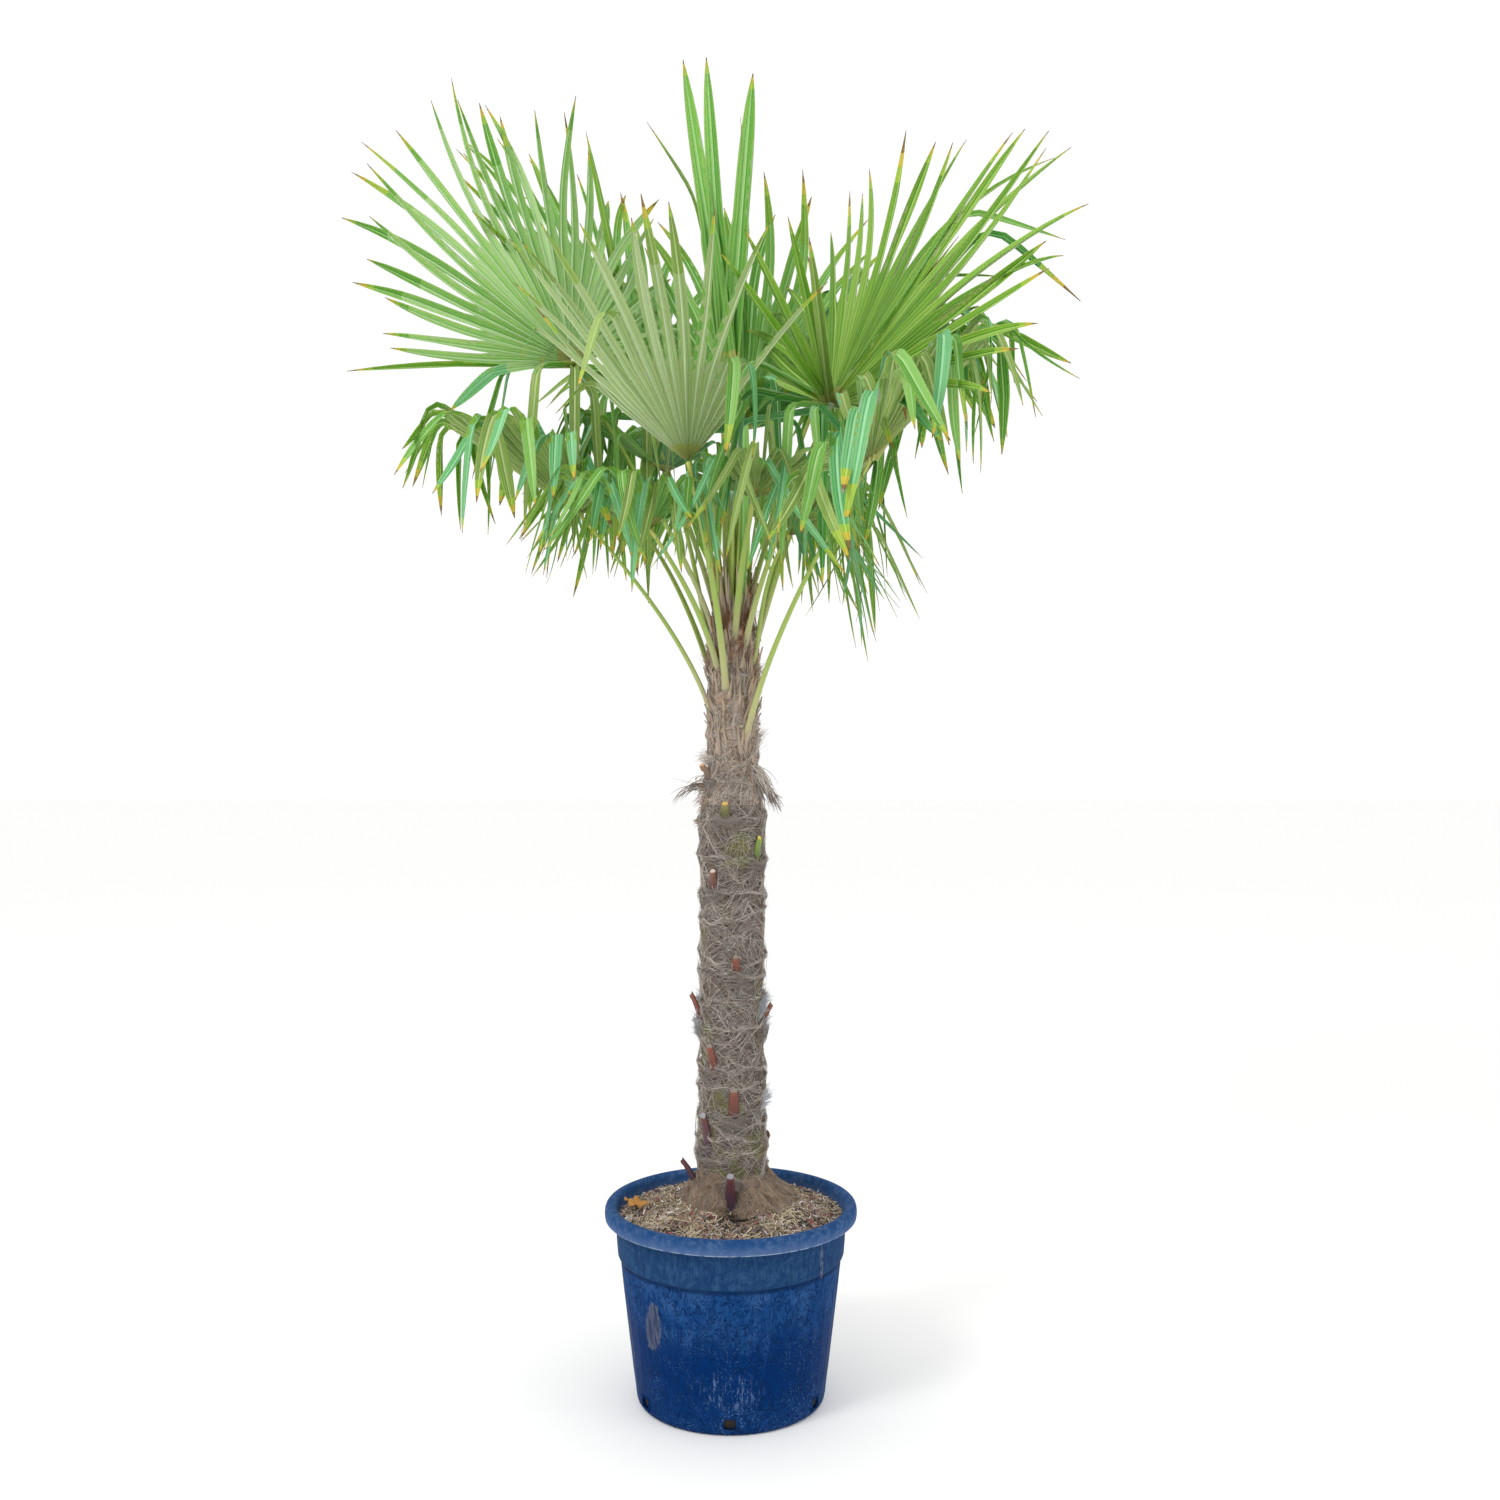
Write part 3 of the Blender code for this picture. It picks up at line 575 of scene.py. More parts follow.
def end_tree(tree, geometry, material):
    """Gives what the tree has grown its material and sends it out."""
    made = add(tree, "GeometryNodeSetMaterial", {"Geometry": geometry, "Material": material})
    add(tree, "NodeGroupOutput", {0: made.outputs[0]})


def random_value(tree, low, high, seed):
    """A random number for each element, from low to high."""
    made = add(tree, "FunctionNodeRandomValue", {2: low, 3: high, 8: seed}, data_type="FLOAT")
    return made.outputs[1]


def vectors(tree, operation, first, second):
    """A vector worked out from two others, or from one and the number that scales it."""
    second_socket = "Scale" if operation == "SCALE" else 1
    made = add(tree, "ShaderNodeVectorMath", {0: first, second_socket: second}, operation=operation)
    return made.outputs[0]


def turned_about(tree, rotation, axis, angle):
    """A rotation, turned further about one of its own axes."""
    further = add(tree, "FunctionNodeAxisAngleToRotation", {0: axis, 1: angle}).outputs[0]
    made = add(tree, "FunctionNodeRotateRotation", {0: rotation, 1: further}, rotation_space="LOCAL")
    return made.outputs[0]


scatter, given = new_tree("scatter loose pieces", "Density Length Width Thickness Tip")
# Each kind lies in patches of its own, as its seed moves the noise
patchy = add(scatter, "ShaderNodeTexNoise", {"W": given["Seed"], "Scale": 13.0, "Detail": 2.0},
             noise_dimensions="4D")
patchy = sums(scatter, "MULTIPLY_ADD", between(scatter, patchy.outputs[0], 0.42, 0.60), 1.8, 0.10)
dealt = product(scatter, given["Density"], patchy)
spread = add(scatter, "GeometryNodeDistributePointsOnFaces", {"Mesh": given["Geometry"],
             "Density": dealt, "Seed": given["Seed"]})
size = add(scatter, "ShaderNodeCombineXYZ",
           {0: given["Length"], 1: given["Width"], 2: given["Thickness"]})
chip = add(scatter, "GeometryNodeMeshCube", {"Size": size.outputs[0]})
facing = spread.outputs["Rotation"]
facing = turned_about(scatter, facing, (0, 0, 1), random_value(scatter, -math.pi, math.pi, 3))
opposite = product(scatter, given["Tip"], -1.0)
facing = turned_about(scatter, facing, (0, 1, 0), random_value(scatter, opposite, given["Tip"], 5))
facing = turned_about(scatter, facing, (1, 0, 0), random_value(scatter, -0.6, 0.6, 7))
chips = add(scatter, "GeometryNodeInstanceOnPoints", {
            "Points": spread.outputs["Points"], "Instance": chip.outputs["Mesh"],
            "Rotation": facing, "Scale": random_value(scatter, 0.45, 1.25, 9)})
real = add(scatter, "GeometryNodeRealizeInstances", {0: chips.outputs[0]})
wobble = add(scatter, "ShaderNodeTexNoise", {"Scale": 90.0, "Detail": 1.0}).outputs[1]
bent = vectors(scatter, "SCALE", vectors(scatter, "SUBTRACT", wobble, (0.5, 0.5, 0.40)), 0.008)
loose = add(scatter, "GeometryNodeSetPosition", {"Geometry": real.outputs[0], "Offset": bent})
end_tree(scatter, loose.outputs[0], given["Material"])


def grow_on(surface, tree, name, **sizes):
    """Runs a tree on a surface and returns what it grows as a plain mesh object."""
    modifier = surface.modifiers.new(name, "NODES")
    modifier.node_group = tree
    sockets = {item.name: item.identifier for item in tree.interface.items_tree
               if item.in_out == "INPUT"}
    for label, value in sizes.items():
        modifier[sockets[label]] = value
    mesh = evaluated_mesh(surface)
    mesh.name = name
    surface.modifiers.remove(modifier)
    return placed(name, mesh)


def bare_copy(name, source, keep):
    """A copy of the faces of a piece whose centres pass a test, to grow things on."""
    mesh = source.data.copy()
    bm = bmesh.new()
    bm.from_mesh(mesh)
    lost = [face for face in bm.faces if not keep(face.calc_center_median(), face.normal)]
    bmesh.ops.delete(bm, geom=lost, context="FACES")
    bm.to_mesh(mesh)
    bm.free()
    return placed(name, mesh)


# %% [markdown]
# Straw is pale, old wood chips are grey or brown, and bark is red-brown.
# Each is a plain colour of its own with fine grain as bump, so that the mix of pieces
# and not a picture gives the soil its speckle.

# %% Scatter the mulch
def dry_matter(name, colour, roughness=0.8):
    """Dead plant matter: matt, with grain about 1 mm apart as bump."""
    material, tree, shader = start_material(name, colour, roughness, Specular_IOR_Level=0.25)
    place = object_place(tree)
    grain = noise_of(tree, place, 700, 2)
    relief(tree, shader, grain, 0.0004, 0.6)
    tree.links.new(between(tree, grain, -0.8, 1.4), shader.inputs["Roughness"])
    return material


soil_top = bare_copy("soil_top", soil, lambda c, n: n.z > 0.3 and 0.092 < c.xy.length < 0.270
                     and math.hypot(c.x - HOLLOW[0], (c.y - HOLLOW[1]) * 1.3) > 0.044)
# Name, colour, pieces a square metre, length, width, thickness and tip in radians
mulch_kinds = [
    ("dry_straw", "#cbbd9f", 7600, 0.034, 0.0015, 0.0010, 0.28),
    ("split_straw", "#9f8e76", 9600, 0.030, 0.0014, 0.0010, 0.40),
    ("pale_splinters", "#e2dfe0", 2600, 0.022, 0.0016, 0.0010, 0.60),
    ("grey_wood_chips", "#978c88", 7000, 0.0095, 0.0042, 0.0015, 0.25),
    ("brown_wood_chips", "#7d6a60", 8600, 0.0085, 0.0038, 0.0016, 0.30),
    ("red_bark_chips", "#8a524e", 3000, 0.0095, 0.0048, 0.0020, 0.30),
    ("dark_crumbs", "#332b28", 8000, 0.0065, 0.0046, 0.0026, 0.30),
]
for seed, (name, shade, density, long, wide, thick, tip) in enumerate(mulch_kinds, 11):
    layer = grow_on(soil_top, scatter, name, Density=float(density), Length=long, Width=wide,
                    Thickness=thick, Tip=tip, Seed=seed,
                    Material=dry_matter(name.replace("_", " "), shade))
    hand_over(layer, "mulch")

# %% [markdown]
# ## The trunk
# A windmill palm's trunk hides under its old leaf sheaths, which are mats of criss-cross
# fibre. Each sheath's upper edge stands away from the trunk and frays. The trunk could be
# a cylinder with a displacement picture. Here a loop sets every point's radius from the
# solid's own profile, the lip of each sheath and ridged noise, so the relief is real.

# %% The trunk's sizes
TRUNK_TOP = 1.970
TRUNK_LEAN = 0.006
AROUND = 208
UPWARDS = 452
SHEATH_LIP = 0.0036
SHEATH_EDGES = [
    0.613, 0.642, 0.698, 0.780, 0.819, 0.928, 0.990, 1.048, 1.090, 1.191,
    1.242, 1.338, 1.430, 1.515, 1.580, 1.650, 1.720, 1.790, 1.855,
]
STEM_MARKS = [
    (SOIL_TOP - 0.02, 0.104), (0.500, 0.0975), (0.515, 0.0925), (0.560, 0.0870), (0.700, 0.0830),
    (0.900, 0.0805), (1.100, 0.0795), (1.330, 0.0825), (1.415, 0.0830), (1.455, 0.0800),
    (1.500, 0.0670), (1.545, 0.0625), (1.760, 0.0600), (1.880, 0.0585), (1.930, 0.0500),
    (TRUNK_TOP, 0.030),
]
# How far the mat lies inside the solid's profile, its slow swell and its fibres' ridges
MATTING = 0.0040
SWELL = 0.0045
RIDGE = 0.0011


def stem_radius(z):
    """The trunk's mean radius at this height, on straight lines between its marks."""
    for (low, first), (high, second) in zip(STEM_MARKS, STEM_MARKS[1:]):
        if z <= high:
            return first + (second - first) * max(0.0, z - low) / (high - low)
    return STEM_MARKS[-1][1]


def lean_at(z):
    """How far the leaning trunk's middle has moved along X at this height."""
    return TRUNK_LEAN * (z - SOIL_TOP) / (TRUNK_TOP - SOIL_TOP)


def edge_height(number, angle):
    """A sheath's edge wanders up and down round the trunk, by up to 20 mm in three waves."""
    wander = 0.010 * math.sin(angle + 2.1 * number) + 0.006 * math.sin(2 * angle + 1.3 * number)
    return SHEATH_EDGES[number] + wander + 0.004 * math.sin(7 * angle + number)


def trunk_radius(z, angle):
    """The trunk's radius with its sheaths' lips and its matted fibre.

    Each sheath widens upwards from the edge below it, and its lip stands out most. Two
    slanting noises, folded at zero, make ridges that cross like woven fibre.
    """
    soft = (stem_radius(z - 0.012) + stem_radius(z) + stem_radius(z + 0.012)) / 3
    low, high = SOIL_TOP - 0.02, TRUNK_TOP
    for number in range(len(SHEATH_EDGES)):
        edge = edge_height(number, angle)
        if edge <= z:
            low = edge
        elif edge < high:
            high = edge
            break
    rise = (z - low) / max(high - low, 0.004)
    lip = SHEATH_LIP * (2 * rise ** 2 - 1) + 0.003 * max(0.0, 1 - (high - z) / 0.010)
    if high == TRUNK_TOP:
        lip = -SHEATH_LIP * (1 - rise)
    spot = Vector((math.sin(angle) * 0.09, math.cos(angle) * 0.09, z))
    swell = SWELL * noise.noise(spot * 14)
    slant = angle * 0.09
    mat = 1 - abs(noise.noise(Vector((slant * 110 + z * 60, z * 150 - slant * 40, 3)))) * 2.2
    mat += 1 - abs(noise.noise(Vector((slant * 110 - z * 60, z * 150 + slant * 40, 9)))) * 2.2
    return soft - MATTING + lip + swell + RIDGE * mat


# %% [markdown]
# The fibre is grey-brown where the sun has bleached it, warm brown in the hollows, and
# olive where the green sheath still shows through the mat. The colours are mixed in
# Object coordinates: patches about 10 cm wide, and fine level and upright threads.

# %% The trunk's surface
bark, tree, shader = start_material("matted palm fibre", "#8b7f76", 0.95, Specular_IOR_Level=0.2)
place = object_place(tree)
axes = split(tree, place)
patches = noise_of(tree, place, 9, 3)
threads = noise_of(tree, place, 75, 5, stretch=(1, 1, 3.2), roughness=0.7)
upright = noise_of(tree, place, 120, 4, stretch=(1, 1, 0.3), roughness=0.7)
colour = blend(tree, between(tree, threads, 0.36, 0.62), "#332b28", "#878079")
colour = blend(tree, product(tree, between(tree, upright, 0.55, 0.70), 0.5), colour, "#aba19b")
olive = product(tree, between(tree, patches, 0.50, 0.62), between(tree, axes[2], 1.46, 1.36))
colour = blend(tree, product(tree, olive, 0.85), colour, "#6b6c3c")
warm = between(tree, axes[2], 1.40, 1.75)
colour = blend(tree, product(tree, warm, 0.75), colour, "#bca088")
colour = blend(tree, product(tree, between(tree, axes[2], 1.78, 1.90), 0.50), colour, "#b0825f")
tree.links.new(colour, shader.inputs["Base Color"])
relief(tree, shader, sums(tree, "ADD", threads, upright), 0.003, 0.9)

points, faces = [], []
for row in range(UPWARDS + 1):
    z = SOIL_TOP - 0.02 + (TRUNK_TOP + 0.004 - SOIL_TOP + 0.02) * row / UPWARDS
    shift = lean_at(z)
    for k in range(AROUND):
        angle = 2 * math.pi * k / AROUND
        radius = trunk_radius(z, angle)
        points.append(about_axis(radius, angle, z, shift))
for row in range(UPWARDS):
    ring_faces(faces, row * AROUND, (row + 1) * AROUND, AROUND)
faces.append(tuple(reversed(range(AROUND))))
faces.append(tuple(range(UPWARDS * AROUND, (UPWARDS + 1) * AROUND)))
trunk = piece("matted_trunk", points, faces, [bark])
hand_over(trunk, "fibrous_bark", "trunk")

# %% [markdown]
# Loose fibres lie over the mat in every direction, most of them nearly level or slanting.
# Modelling each by hand is out of the question, so a tree grows them: points on the
# trunk, a short line on each turned to lie level and then spun at random, noise to make
# it wander, and the trunk's nearest surface to lay it down. A triangle swept along it
# gives it body. Real fibres are half a millimetre thick. These are drawn more than twice
# as thick, and the tufts' up to five times, so that they still show from four metres.

# %% The tree of loose fibres
fibre, given = new_tree("loose fibres", "Density Length Thickness Slant Wander Lift")
# Fibres lie thinner where the finish shows the green sheath: it uses the same noise
bare = add(fibre, "ShaderNodeTexNoise", {"Scale": 9.0, "Detail": 3.0, "Roughness": 0.55}).outputs[0]
high_up = split(fibre, add(fibre, "GeometryNodeInputPosition").outputs[0])[2]
bare = product(fibre, between(fibre, bare, 0.50, 0.62), between(fibre, high_up, 1.46, 1.36))
thinned = product(fibre, given["Density"], sums(fibre, "MULTIPLY_ADD", bare, -0.72, 1.0))
spread = add(fibre, "GeometryNodeDistributePointsOnFaces", {"Mesh": given["Geometry"],
             "Density": thinned, "Seed": given["Seed"]})
outward = spread.outputs["Normal"]
level = vectors(fibre, "CROSS_PRODUCT", (0, 0, 1), outward)
flat = add(fibre, "FunctionNodeAlignRotationToVector", {"Vector": outward}, axis="Z").outputs[0]
flat = add(fibre, "FunctionNodeAlignRotationToVector", {"Rotation": flat, "Vector": level},
           axis="X", pivot_axis="Z").outputs[0]
steeper = sums(fibre, "MULTIPLY_ADD", between(fibre, high_up, 1.42, 1.60), 0.55, given["Slant"])
spin = product(fibre, random_value(fibre, -1.0, 1.0, 21), steeper)
flat = turned_about(fibre, flat, (0, 0, 1), spin)
line = add(fibre, "GeometryNodeCurvePrimitiveLine", {"Start": (-0.5, 0, 0), "End": (0.5, 0, 0)})
line = add(fibre, "GeometryNodeResampleCurve", {"Curve": line.outputs[0], "Count": 7})
reach = product(fibre, random_value(fibre, 0.5, 1.3, 23), given["Length"])
lines = add(fibre, "GeometryNodeInstanceOnPoints", {"Points": spread.outputs["Points"],
            "Instance": line.outputs[0], "Rotation": flat, "Scale": reach})
lines = add(fibre, "GeometryNodeRealizeInstances", {0: lines.outputs[0]})
here = add(fibre, "GeometryNodeInputPosition").outputs[0]
swirl = add(fibre, "ShaderNodeTexNoise", {"Vector": here, "Scale": 17.0, "Detail": 1.0}).outputs[1]
swirl = vectors(fibre, "SUBTRACT", swirl, (0.5, 0.5, 0.5))
swirl = vectors(fibre, "SCALE", swirl, given["Wander"])
moved = add(fibre, "GeometryNodeSetPosition", {"Geometry": lines.outputs[0], "Offset": swirl})
nearest = add(fibre, "GeometryNodeProximity", {0: given["Geometry"]}, target_element="FACES")
normal = add(fibre, "GeometryNodeInputNormal").outputs[0]
outward = add(fibre, "GeometryNodeSampleNearestSurface",
              {"Mesh": given["Geometry"], "Value": normal}, data_type="FLOAT_VECTOR").outputs[0]
airy = add(fibre, "ShaderNodeTexNoise", {"Vector": here, "Scale": 29.0, "Detail": 1.0}).outputs[0]
airy = product(fibre, between(fibre, airy, 0.40, 0.75), given["Lift"])
airy = sums(fibre, "MULTIPLY_ADD", given["Thickness"], 0.5, airy)
proud = vectors(fibre, "SCALE", outward, airy)
laid = vectors(fibre, "ADD", nearest.outputs["Position"], proud)
moved = add(fibre, "GeometryNodeSetPosition", {"Geometry": moved.outputs[0], "Position": laid})
share = add(fibre, "GeometryNodeSplineParameter").outputs["Factor"]
taper = sums(fibre, "ABSOLUTE", sums(fibre, "MULTIPLY_ADD", share, 2.0, -1.0))
taper = sums(fibre, "MULTIPLY_ADD", sums(fibre, "POWER", taper, 4.0), -0.8, 1.0)
section = add(fibre, "GeometryNodeCurvePrimitiveCircle", {"Resolution": 3, 4: 0.5})
swept = add(fibre, "GeometryNodeCurveToMesh", {
            "Curve": moved.outputs[0], "Profile Curve": section.outputs[0],
            "Scale": product(fibre, taper, given["Thickness"]), "Fill Caps": True})
end_tree(fibre, swept.outputs[0], given["Material"])

# %% Grow the loose fibres
trunk_skin = bare_copy("trunk_skin", trunk, lambda c, n: abs(n.z) < 0.9 and 0.50 < c.z < 1.965)
# Name, colour, fibres a square metre, length, thickness, slant, wander and lift
fibre_kinds = [
    ("bleached_fibres", "#d2c9c0", 2900, 0.170, 0.0010, 1.0, 0.110, 0.006),
    ("grey_fibres", "#978d86", 3300, 0.150, 0.0011, 1.2, 0.095, 0.004),
    ("brown_fibres", "#806b5c", 2300, 0.110, 0.0012, 1.5, 0.080, 0.005),
]
neck_skin = bare_copy("neck_skin", trunk_skin, lambda c, n: c.z > 1.46)
neck_kinds = [
    ("neck_fibres", "#c6ab92", 5200, 0.105, 0.0011, 1.1, 0.075, 0.005),
    ("pale_neck_fibres", "#e4d6ca", 4200, 0.105, 0.0011, 1.1, 0.075, 0.005),
]
for surface, first, kinds in ((trunk_skin, 31, fibre_kinds), (neck_skin, 36, neck_kinds)):
    for seed, (name, shade, density, long, thick, slant, wander, lift) in enumerate(kinds, first):
        layer = grow_on(surface, fibre, name, Density=float(density), Length=long, Thickness=thick,
                        Slant=slant, Wander=wander, Lift=lift, Seed=seed,
                        Material=dry_matter(name.replace("_", " "), shade))
        hand_over(layer, "fibrous_bark")
bpy.data.objects.remove(neck_skin)

# %% [markdown]
# At every sheath's edge the mat frays into short bristles, and in a few places whole
# tufts stand off: a spike on the left and a drooping fringe on the right under the neck,
# pale webs by some of the leaf bases, and red-brown wisps between the youngest stalks.
# A tuft is a bundle of thin tubes whose paths start on the trunk and bend under their
# own weight, so a short loop grows them all.

# %% Frayed edges and tufts
def tube(points, faces, path, thickness):
    """Adds a three-sided tube along a path, tapering to its end."""
    first, last = len(points), len(path) - 1
    ahead = (path[1] - path[0]).normalized()
    side = ahead.orthogonal().normalized()
    for k, point in enumerate(path):
        ahead = (path[min(k + 1, last)] - path[max(k - 1, 0)]).normalized()
        side = (side - ahead * side.dot(ahead)).normalized()
        other = ahead.cross(side)
        radius = thickness / 2 * (1 - 0.75 * (k / last) ** 2)
        for turn_by in (0, 2.0944, 4.1888):
            points.append(point + (side * math.cos(turn_by) + other * math.sin(turn_by)) * radius)
    for k in range(last):
        ring_faces(faces, first + 3 * k, first + 3 * k + 3, 3)
    faces.append((first + 2, first + 1, first))
    end = first + 3 * last
    faces.append((end, end + 1, end + 2))


def on_trunk(azimuth, z, proud=0.0):
    """A point this proud of the trunk's surface, and the direction outwards there."""
    angle = math.radians(azimuth)
    out = compass(azimuth)
    return out * (trunk_radius(z, angle) + proud) + Vector((lean_at(z), 0, z)), out


def bristle_path(rng, azimuth, z, start, length, sag, steps):
    """A path off the trunk: start gives its direction as out, around and up shares."""
    point, out = on_trunk(azimuth, z, -0.002)
    around = compass(azimuth + 90)
    heading = (out * start[0] + around * start[1] + UP * start[2]).normalized()
    path = [point]
    bend = Vector((rng.uniform(-1, 1), rng.uniform(-1, 1), rng.uniform(-1, 1))) * 0.25
    for k in range(steps):
        heading = (heading + (bend - UP * sag) * (1.0 / steps)).normalized()
        path.append(path[-1] + heading * length / steps)
    return path


def wrapped_path(azimuth, sweep, height, proud, steps):
    """A path round the trunk at the heights that a function of the compass angle gives."""
    places = [azimuth + sweep * (k / steps - 0.5) for k in range(steps + 1)]
    return [on_trunk(a, height(a), 0.0005 + proud * math.sin(math.pi * k / steps))[0]
            for k, a in enumerate(places)]


# How thick the tubes are drawn: bristles, level fibres, loose, webbed and matted tufts
BRISTLE, LEVEL, LOOSE, WEBBED, MATTED = 0.0013, 0.0010, 0.0014, 0.0022, 0.0028
rng = random.Random(41)
edge_points, edge_faces = [], []
for number in range(len(SHEATH_EDGES)):
    for _ in range(110):
        azimuth = rng.uniform(0, 360)
        z = edge_height(number, math.radians(azimuth)) - rng.uniform(0.0, 0.006)
        start = (rng.uniform(0.05, 0.45), rng.uniform(-1.8, 1.8), rng.uniform(0.1, 1.0))
        length, sag = rng.uniform(0.006, 0.019), rng.uniform(0, 0.8)
        tube(edge_points, edge_faces, bristle_path(rng, azimuth, z, start, length, sag, 3), BRISTLE)
    for _ in range(64):
        azimuth, sweep, drop = rng.uniform(0, 360), rng.uniform(18, 70), rng.uniform(-0.005, 0.010)
        swing, phase = rng.uniform(0, 0.006), rng.uniform(0, 6)

        def waving(a):
            return edge_height(number, math.radians(a)) - drop + swing * math.sin(a * 0.14 + phase)

        tube(edge_points, edge_faces, wrapped_path(azimuth, sweep, waving, 0.001, 9), LEVEL)
bleached = bpy.data.materials["bleached fibres"]
frayed = piece("frayed_sheath_edges", edge_points, edge_faces, [bleached])
hand_over(frayed, "fibrous_bark")

# A tuft: compass angle and height with their spreads, direction shares, length, sag, count
# and the number of its finish, which is 4 for the pale webs
WEB = 4
Tuft = namedtuple("Tuft", "azimuth wide z tall start length sag count finish")
TUFTS = [Tuft(*row) for row in (
    (-86, 8, 1.500, 0.010, (0.95, -0.1, 0.55), 0.095, 1.6, 22, 1),
    (-70, 30, 1.560, 0.030, (0.6, -0.3, 0.70), 0.040, 0.9, 60, 0),
    (-76, 24, 1.480, 0.030, (0.7, 0.1, 0.20), 0.035, 1.2, 50, 2),
    (76, 30, 1.535, 0.026, (0.7, 0.2, 0.10), 0.080, 2.2, 60, 0),
    (86, 16, 1.510, 0.020, (0.8, 0.0, -0.20), 0.090, 1.6, 40, 1),
    (15, 110, 1.530, 0.034, (0.22, -0.7, -0.35), 0.066, 1.0, 150, 1),
    (40, 80, 1.520, 0.030, (0.25, -0.5, -0.55), 0.060, 1.2, 90, 0),
    (200, 120, 1.520, 0.034, (0.25, 0.5, -0.45), 0.060, 1.2, 150, 1),
    (-64, 14, 1.570, 0.014, (0.9, -0.3, 0.55), 0.046, 0.8, 44, 0),
    (66, 16, 1.600, 0.030, (0.55, 0.3, 0.95), 0.055, 0.3, 44, 0),
    (52, 10, 1.745, 0.030, (0.40, 0.3, 1.10), 0.075, 0.2, 44, 2),
    (-70, 20, 1.800, 0.020, (0.45, 0.0, 1.00), 0.050, 0.3, 40, 2),
    (-20, 40, 1.885, 0.020, (0.25, 0.1, 1.20), 0.060, 0.1, 90, 3),
    (30, 24, 1.880, 0.025, (0.35, 0.2, 1.20), 0.070, 0.1, 60, 3),
    (160, 60, 1.880, 0.025, (0.30, 0.1, 1.20), 0.060, 0.1, 110, 3),
    (0, 60, 1.820, 0.020, (0.35, 0.2, 1.00), 0.050, 0.4, 90, 3),
    (84, 16, 0.960, 0.030, (0.5, -0.6, 0.90), 0.040, 0.5, 160, 4),
    (80, 16, 0.930, 0.030, (0.5, 0.6, 0.90), 0.036, 0.2, 90, 4),
    (-84, 16, 0.900, 0.030, (0.4, 0.5, 0.90), 0.038, 0.5, 130, 4),
    (-84, 12, 0.955, 0.026, (0.4, -0.5, 1.00), 0.038, 0.5, 110, 4),
    (80, 18, 0.725, 0.026, (0.5, 0.5, 0.60), 0.036, 0.5, 130, 4),
    (-84, 14, 1.415, 0.014, (0.8, 0.2, 0.50), 0.022, 0.8, 30, 2),
    (140, 26, 1.500, 0.020, (0.8, 0.2, 0.40), 0.090, 2.2, 60, 1),
    (220, 26, 1.520, 0.020, (0.8, -0.2, 0.50), 0.070, 1.8, 60, 0),
    (190, 24, 0.900, 0.030, (0.5, 0.5, 0.80), 0.040, 0.3, 90, 4),
    (150, 20, 1.120, 0.030, (0.5, -0.5, 0.80), 0.036, 0.3, 80, 4),
)]
tuft_finishes = [bleached, bpy.data.materials["grey fibres"], dry_matter("tan fibres", "#ab947d"),
                 dry_matter("red brown fibres", "#8e6448"), dry_matter("white web fibres", "#d0d3d8")]
points, faces, kinds = [], [], []
for tuft in TUFTS:
    for _ in range(tuft.count):
        azimuth = rng.gauss(tuft.azimuth, tuft.wide / 2)
        z = tuft.z + rng.gauss(0, tuft.tall / 2)
        # A tuft that sags is matted together: its fibres are thicker and keep closer
        matted = tuft.sag > 1.5
        spread = 0.10 if matted else 0.22
        start = tuple(part + rng.uniform(-spread, spread) for part in tuft.start)
        length = tuft.length * rng.uniform(0.55, 1.08)
        path = bristle_path(rng, azimuth, z, start, length, tuft.sag * rng.uniform(0.8, 1.2), 7)
        before = len(faces)
        tube(points, faces, path, MATTED if matted else WEBBED if tuft.finish == WEB else LOOSE)
        kinds += [tuft.finish] * (len(faces) - before)
tufts = piece("fibre_tufts", points, faces, tuft_finishes, kinds)
hand_over(tufts, "fibrous_bark")

# %% [markdown]
# The lowest sheath has slipped down into a mat that slopes from the trunk over the soil.
# A lumpy cone of points is its body, and the tree that laid fibres on the trunk lays
# these too.

# %% The mat round the trunk's foot
MAT_INSIDE = 0.076
MAT_WIDE = 0.104


def mat_height(radius, angle):
    """The mat's height: down from the trunk to the soil, lower round the front leaf base."""
    notch = ease(1 - abs(angle - 0.05) / 0.42)
    share = (radius - 0.080) / (0.160 + 0.026 * math.sin(angle - 0.4) - 0.050 * notch - 0.080)
    rise = 0.078 + 0.016 * math.sin(2 * angle + 2.2) - 0.036 * notch
    place = Vector(about_axis(radius, angle, 2))
    lumps = 0.006 * noise.noise(place * 30) + 0.003 * noise.noise(place * 80)
    slope = rise * max(0.0, 1 - share) ** 1.6
    return soil_height(radius, angle) + slope - 0.008 * share + lumps * min(1, share * 3)


points, faces = [], []
steps, rings = 144, 16
for ring in range(rings + 1):
    for k in range(steps):
        angle = 2 * math.pi * k / steps
        centred = angle if angle < math.pi else angle - 2 * math.pi
        radius = MAT_INSIDE + MAT_WIDE * ring / rings
        points.append(about_axis(radius, angle, mat_height(radius, centred)))
base = len(points)
points += [(x * 0.98, y * 0.98, SOIL_EDGE - 0.012) for x, y, _ in points[-steps:]]
points += [(x, y, SOIL_EDGE - 0.012) for x, y, _ in points[:steps]]
loop = [range(r * steps, (r + 1) * steps) for r in range(rings + 3)] + [range(steps)]
for inner, outer in zip(loop, loop[1:]):
    for k in range(steps):
        j = (k + 1) % steps
        faces.append((inner[k], outer[k], outer[j], inner[j]))
foot_mat = piece("slipped_mat", points, faces, [dry_matter("felted foot fibre", "#806e5d")])
hand_over(foot_mat, "fibrous_bark")
foot_ring = bare_copy("foot_ring", foot_mat, lambda c, n: n.z > 0.2
                      and c.z > soil_height(c.xy.length, math.atan2(c.x, -c.y)) + 0.002)
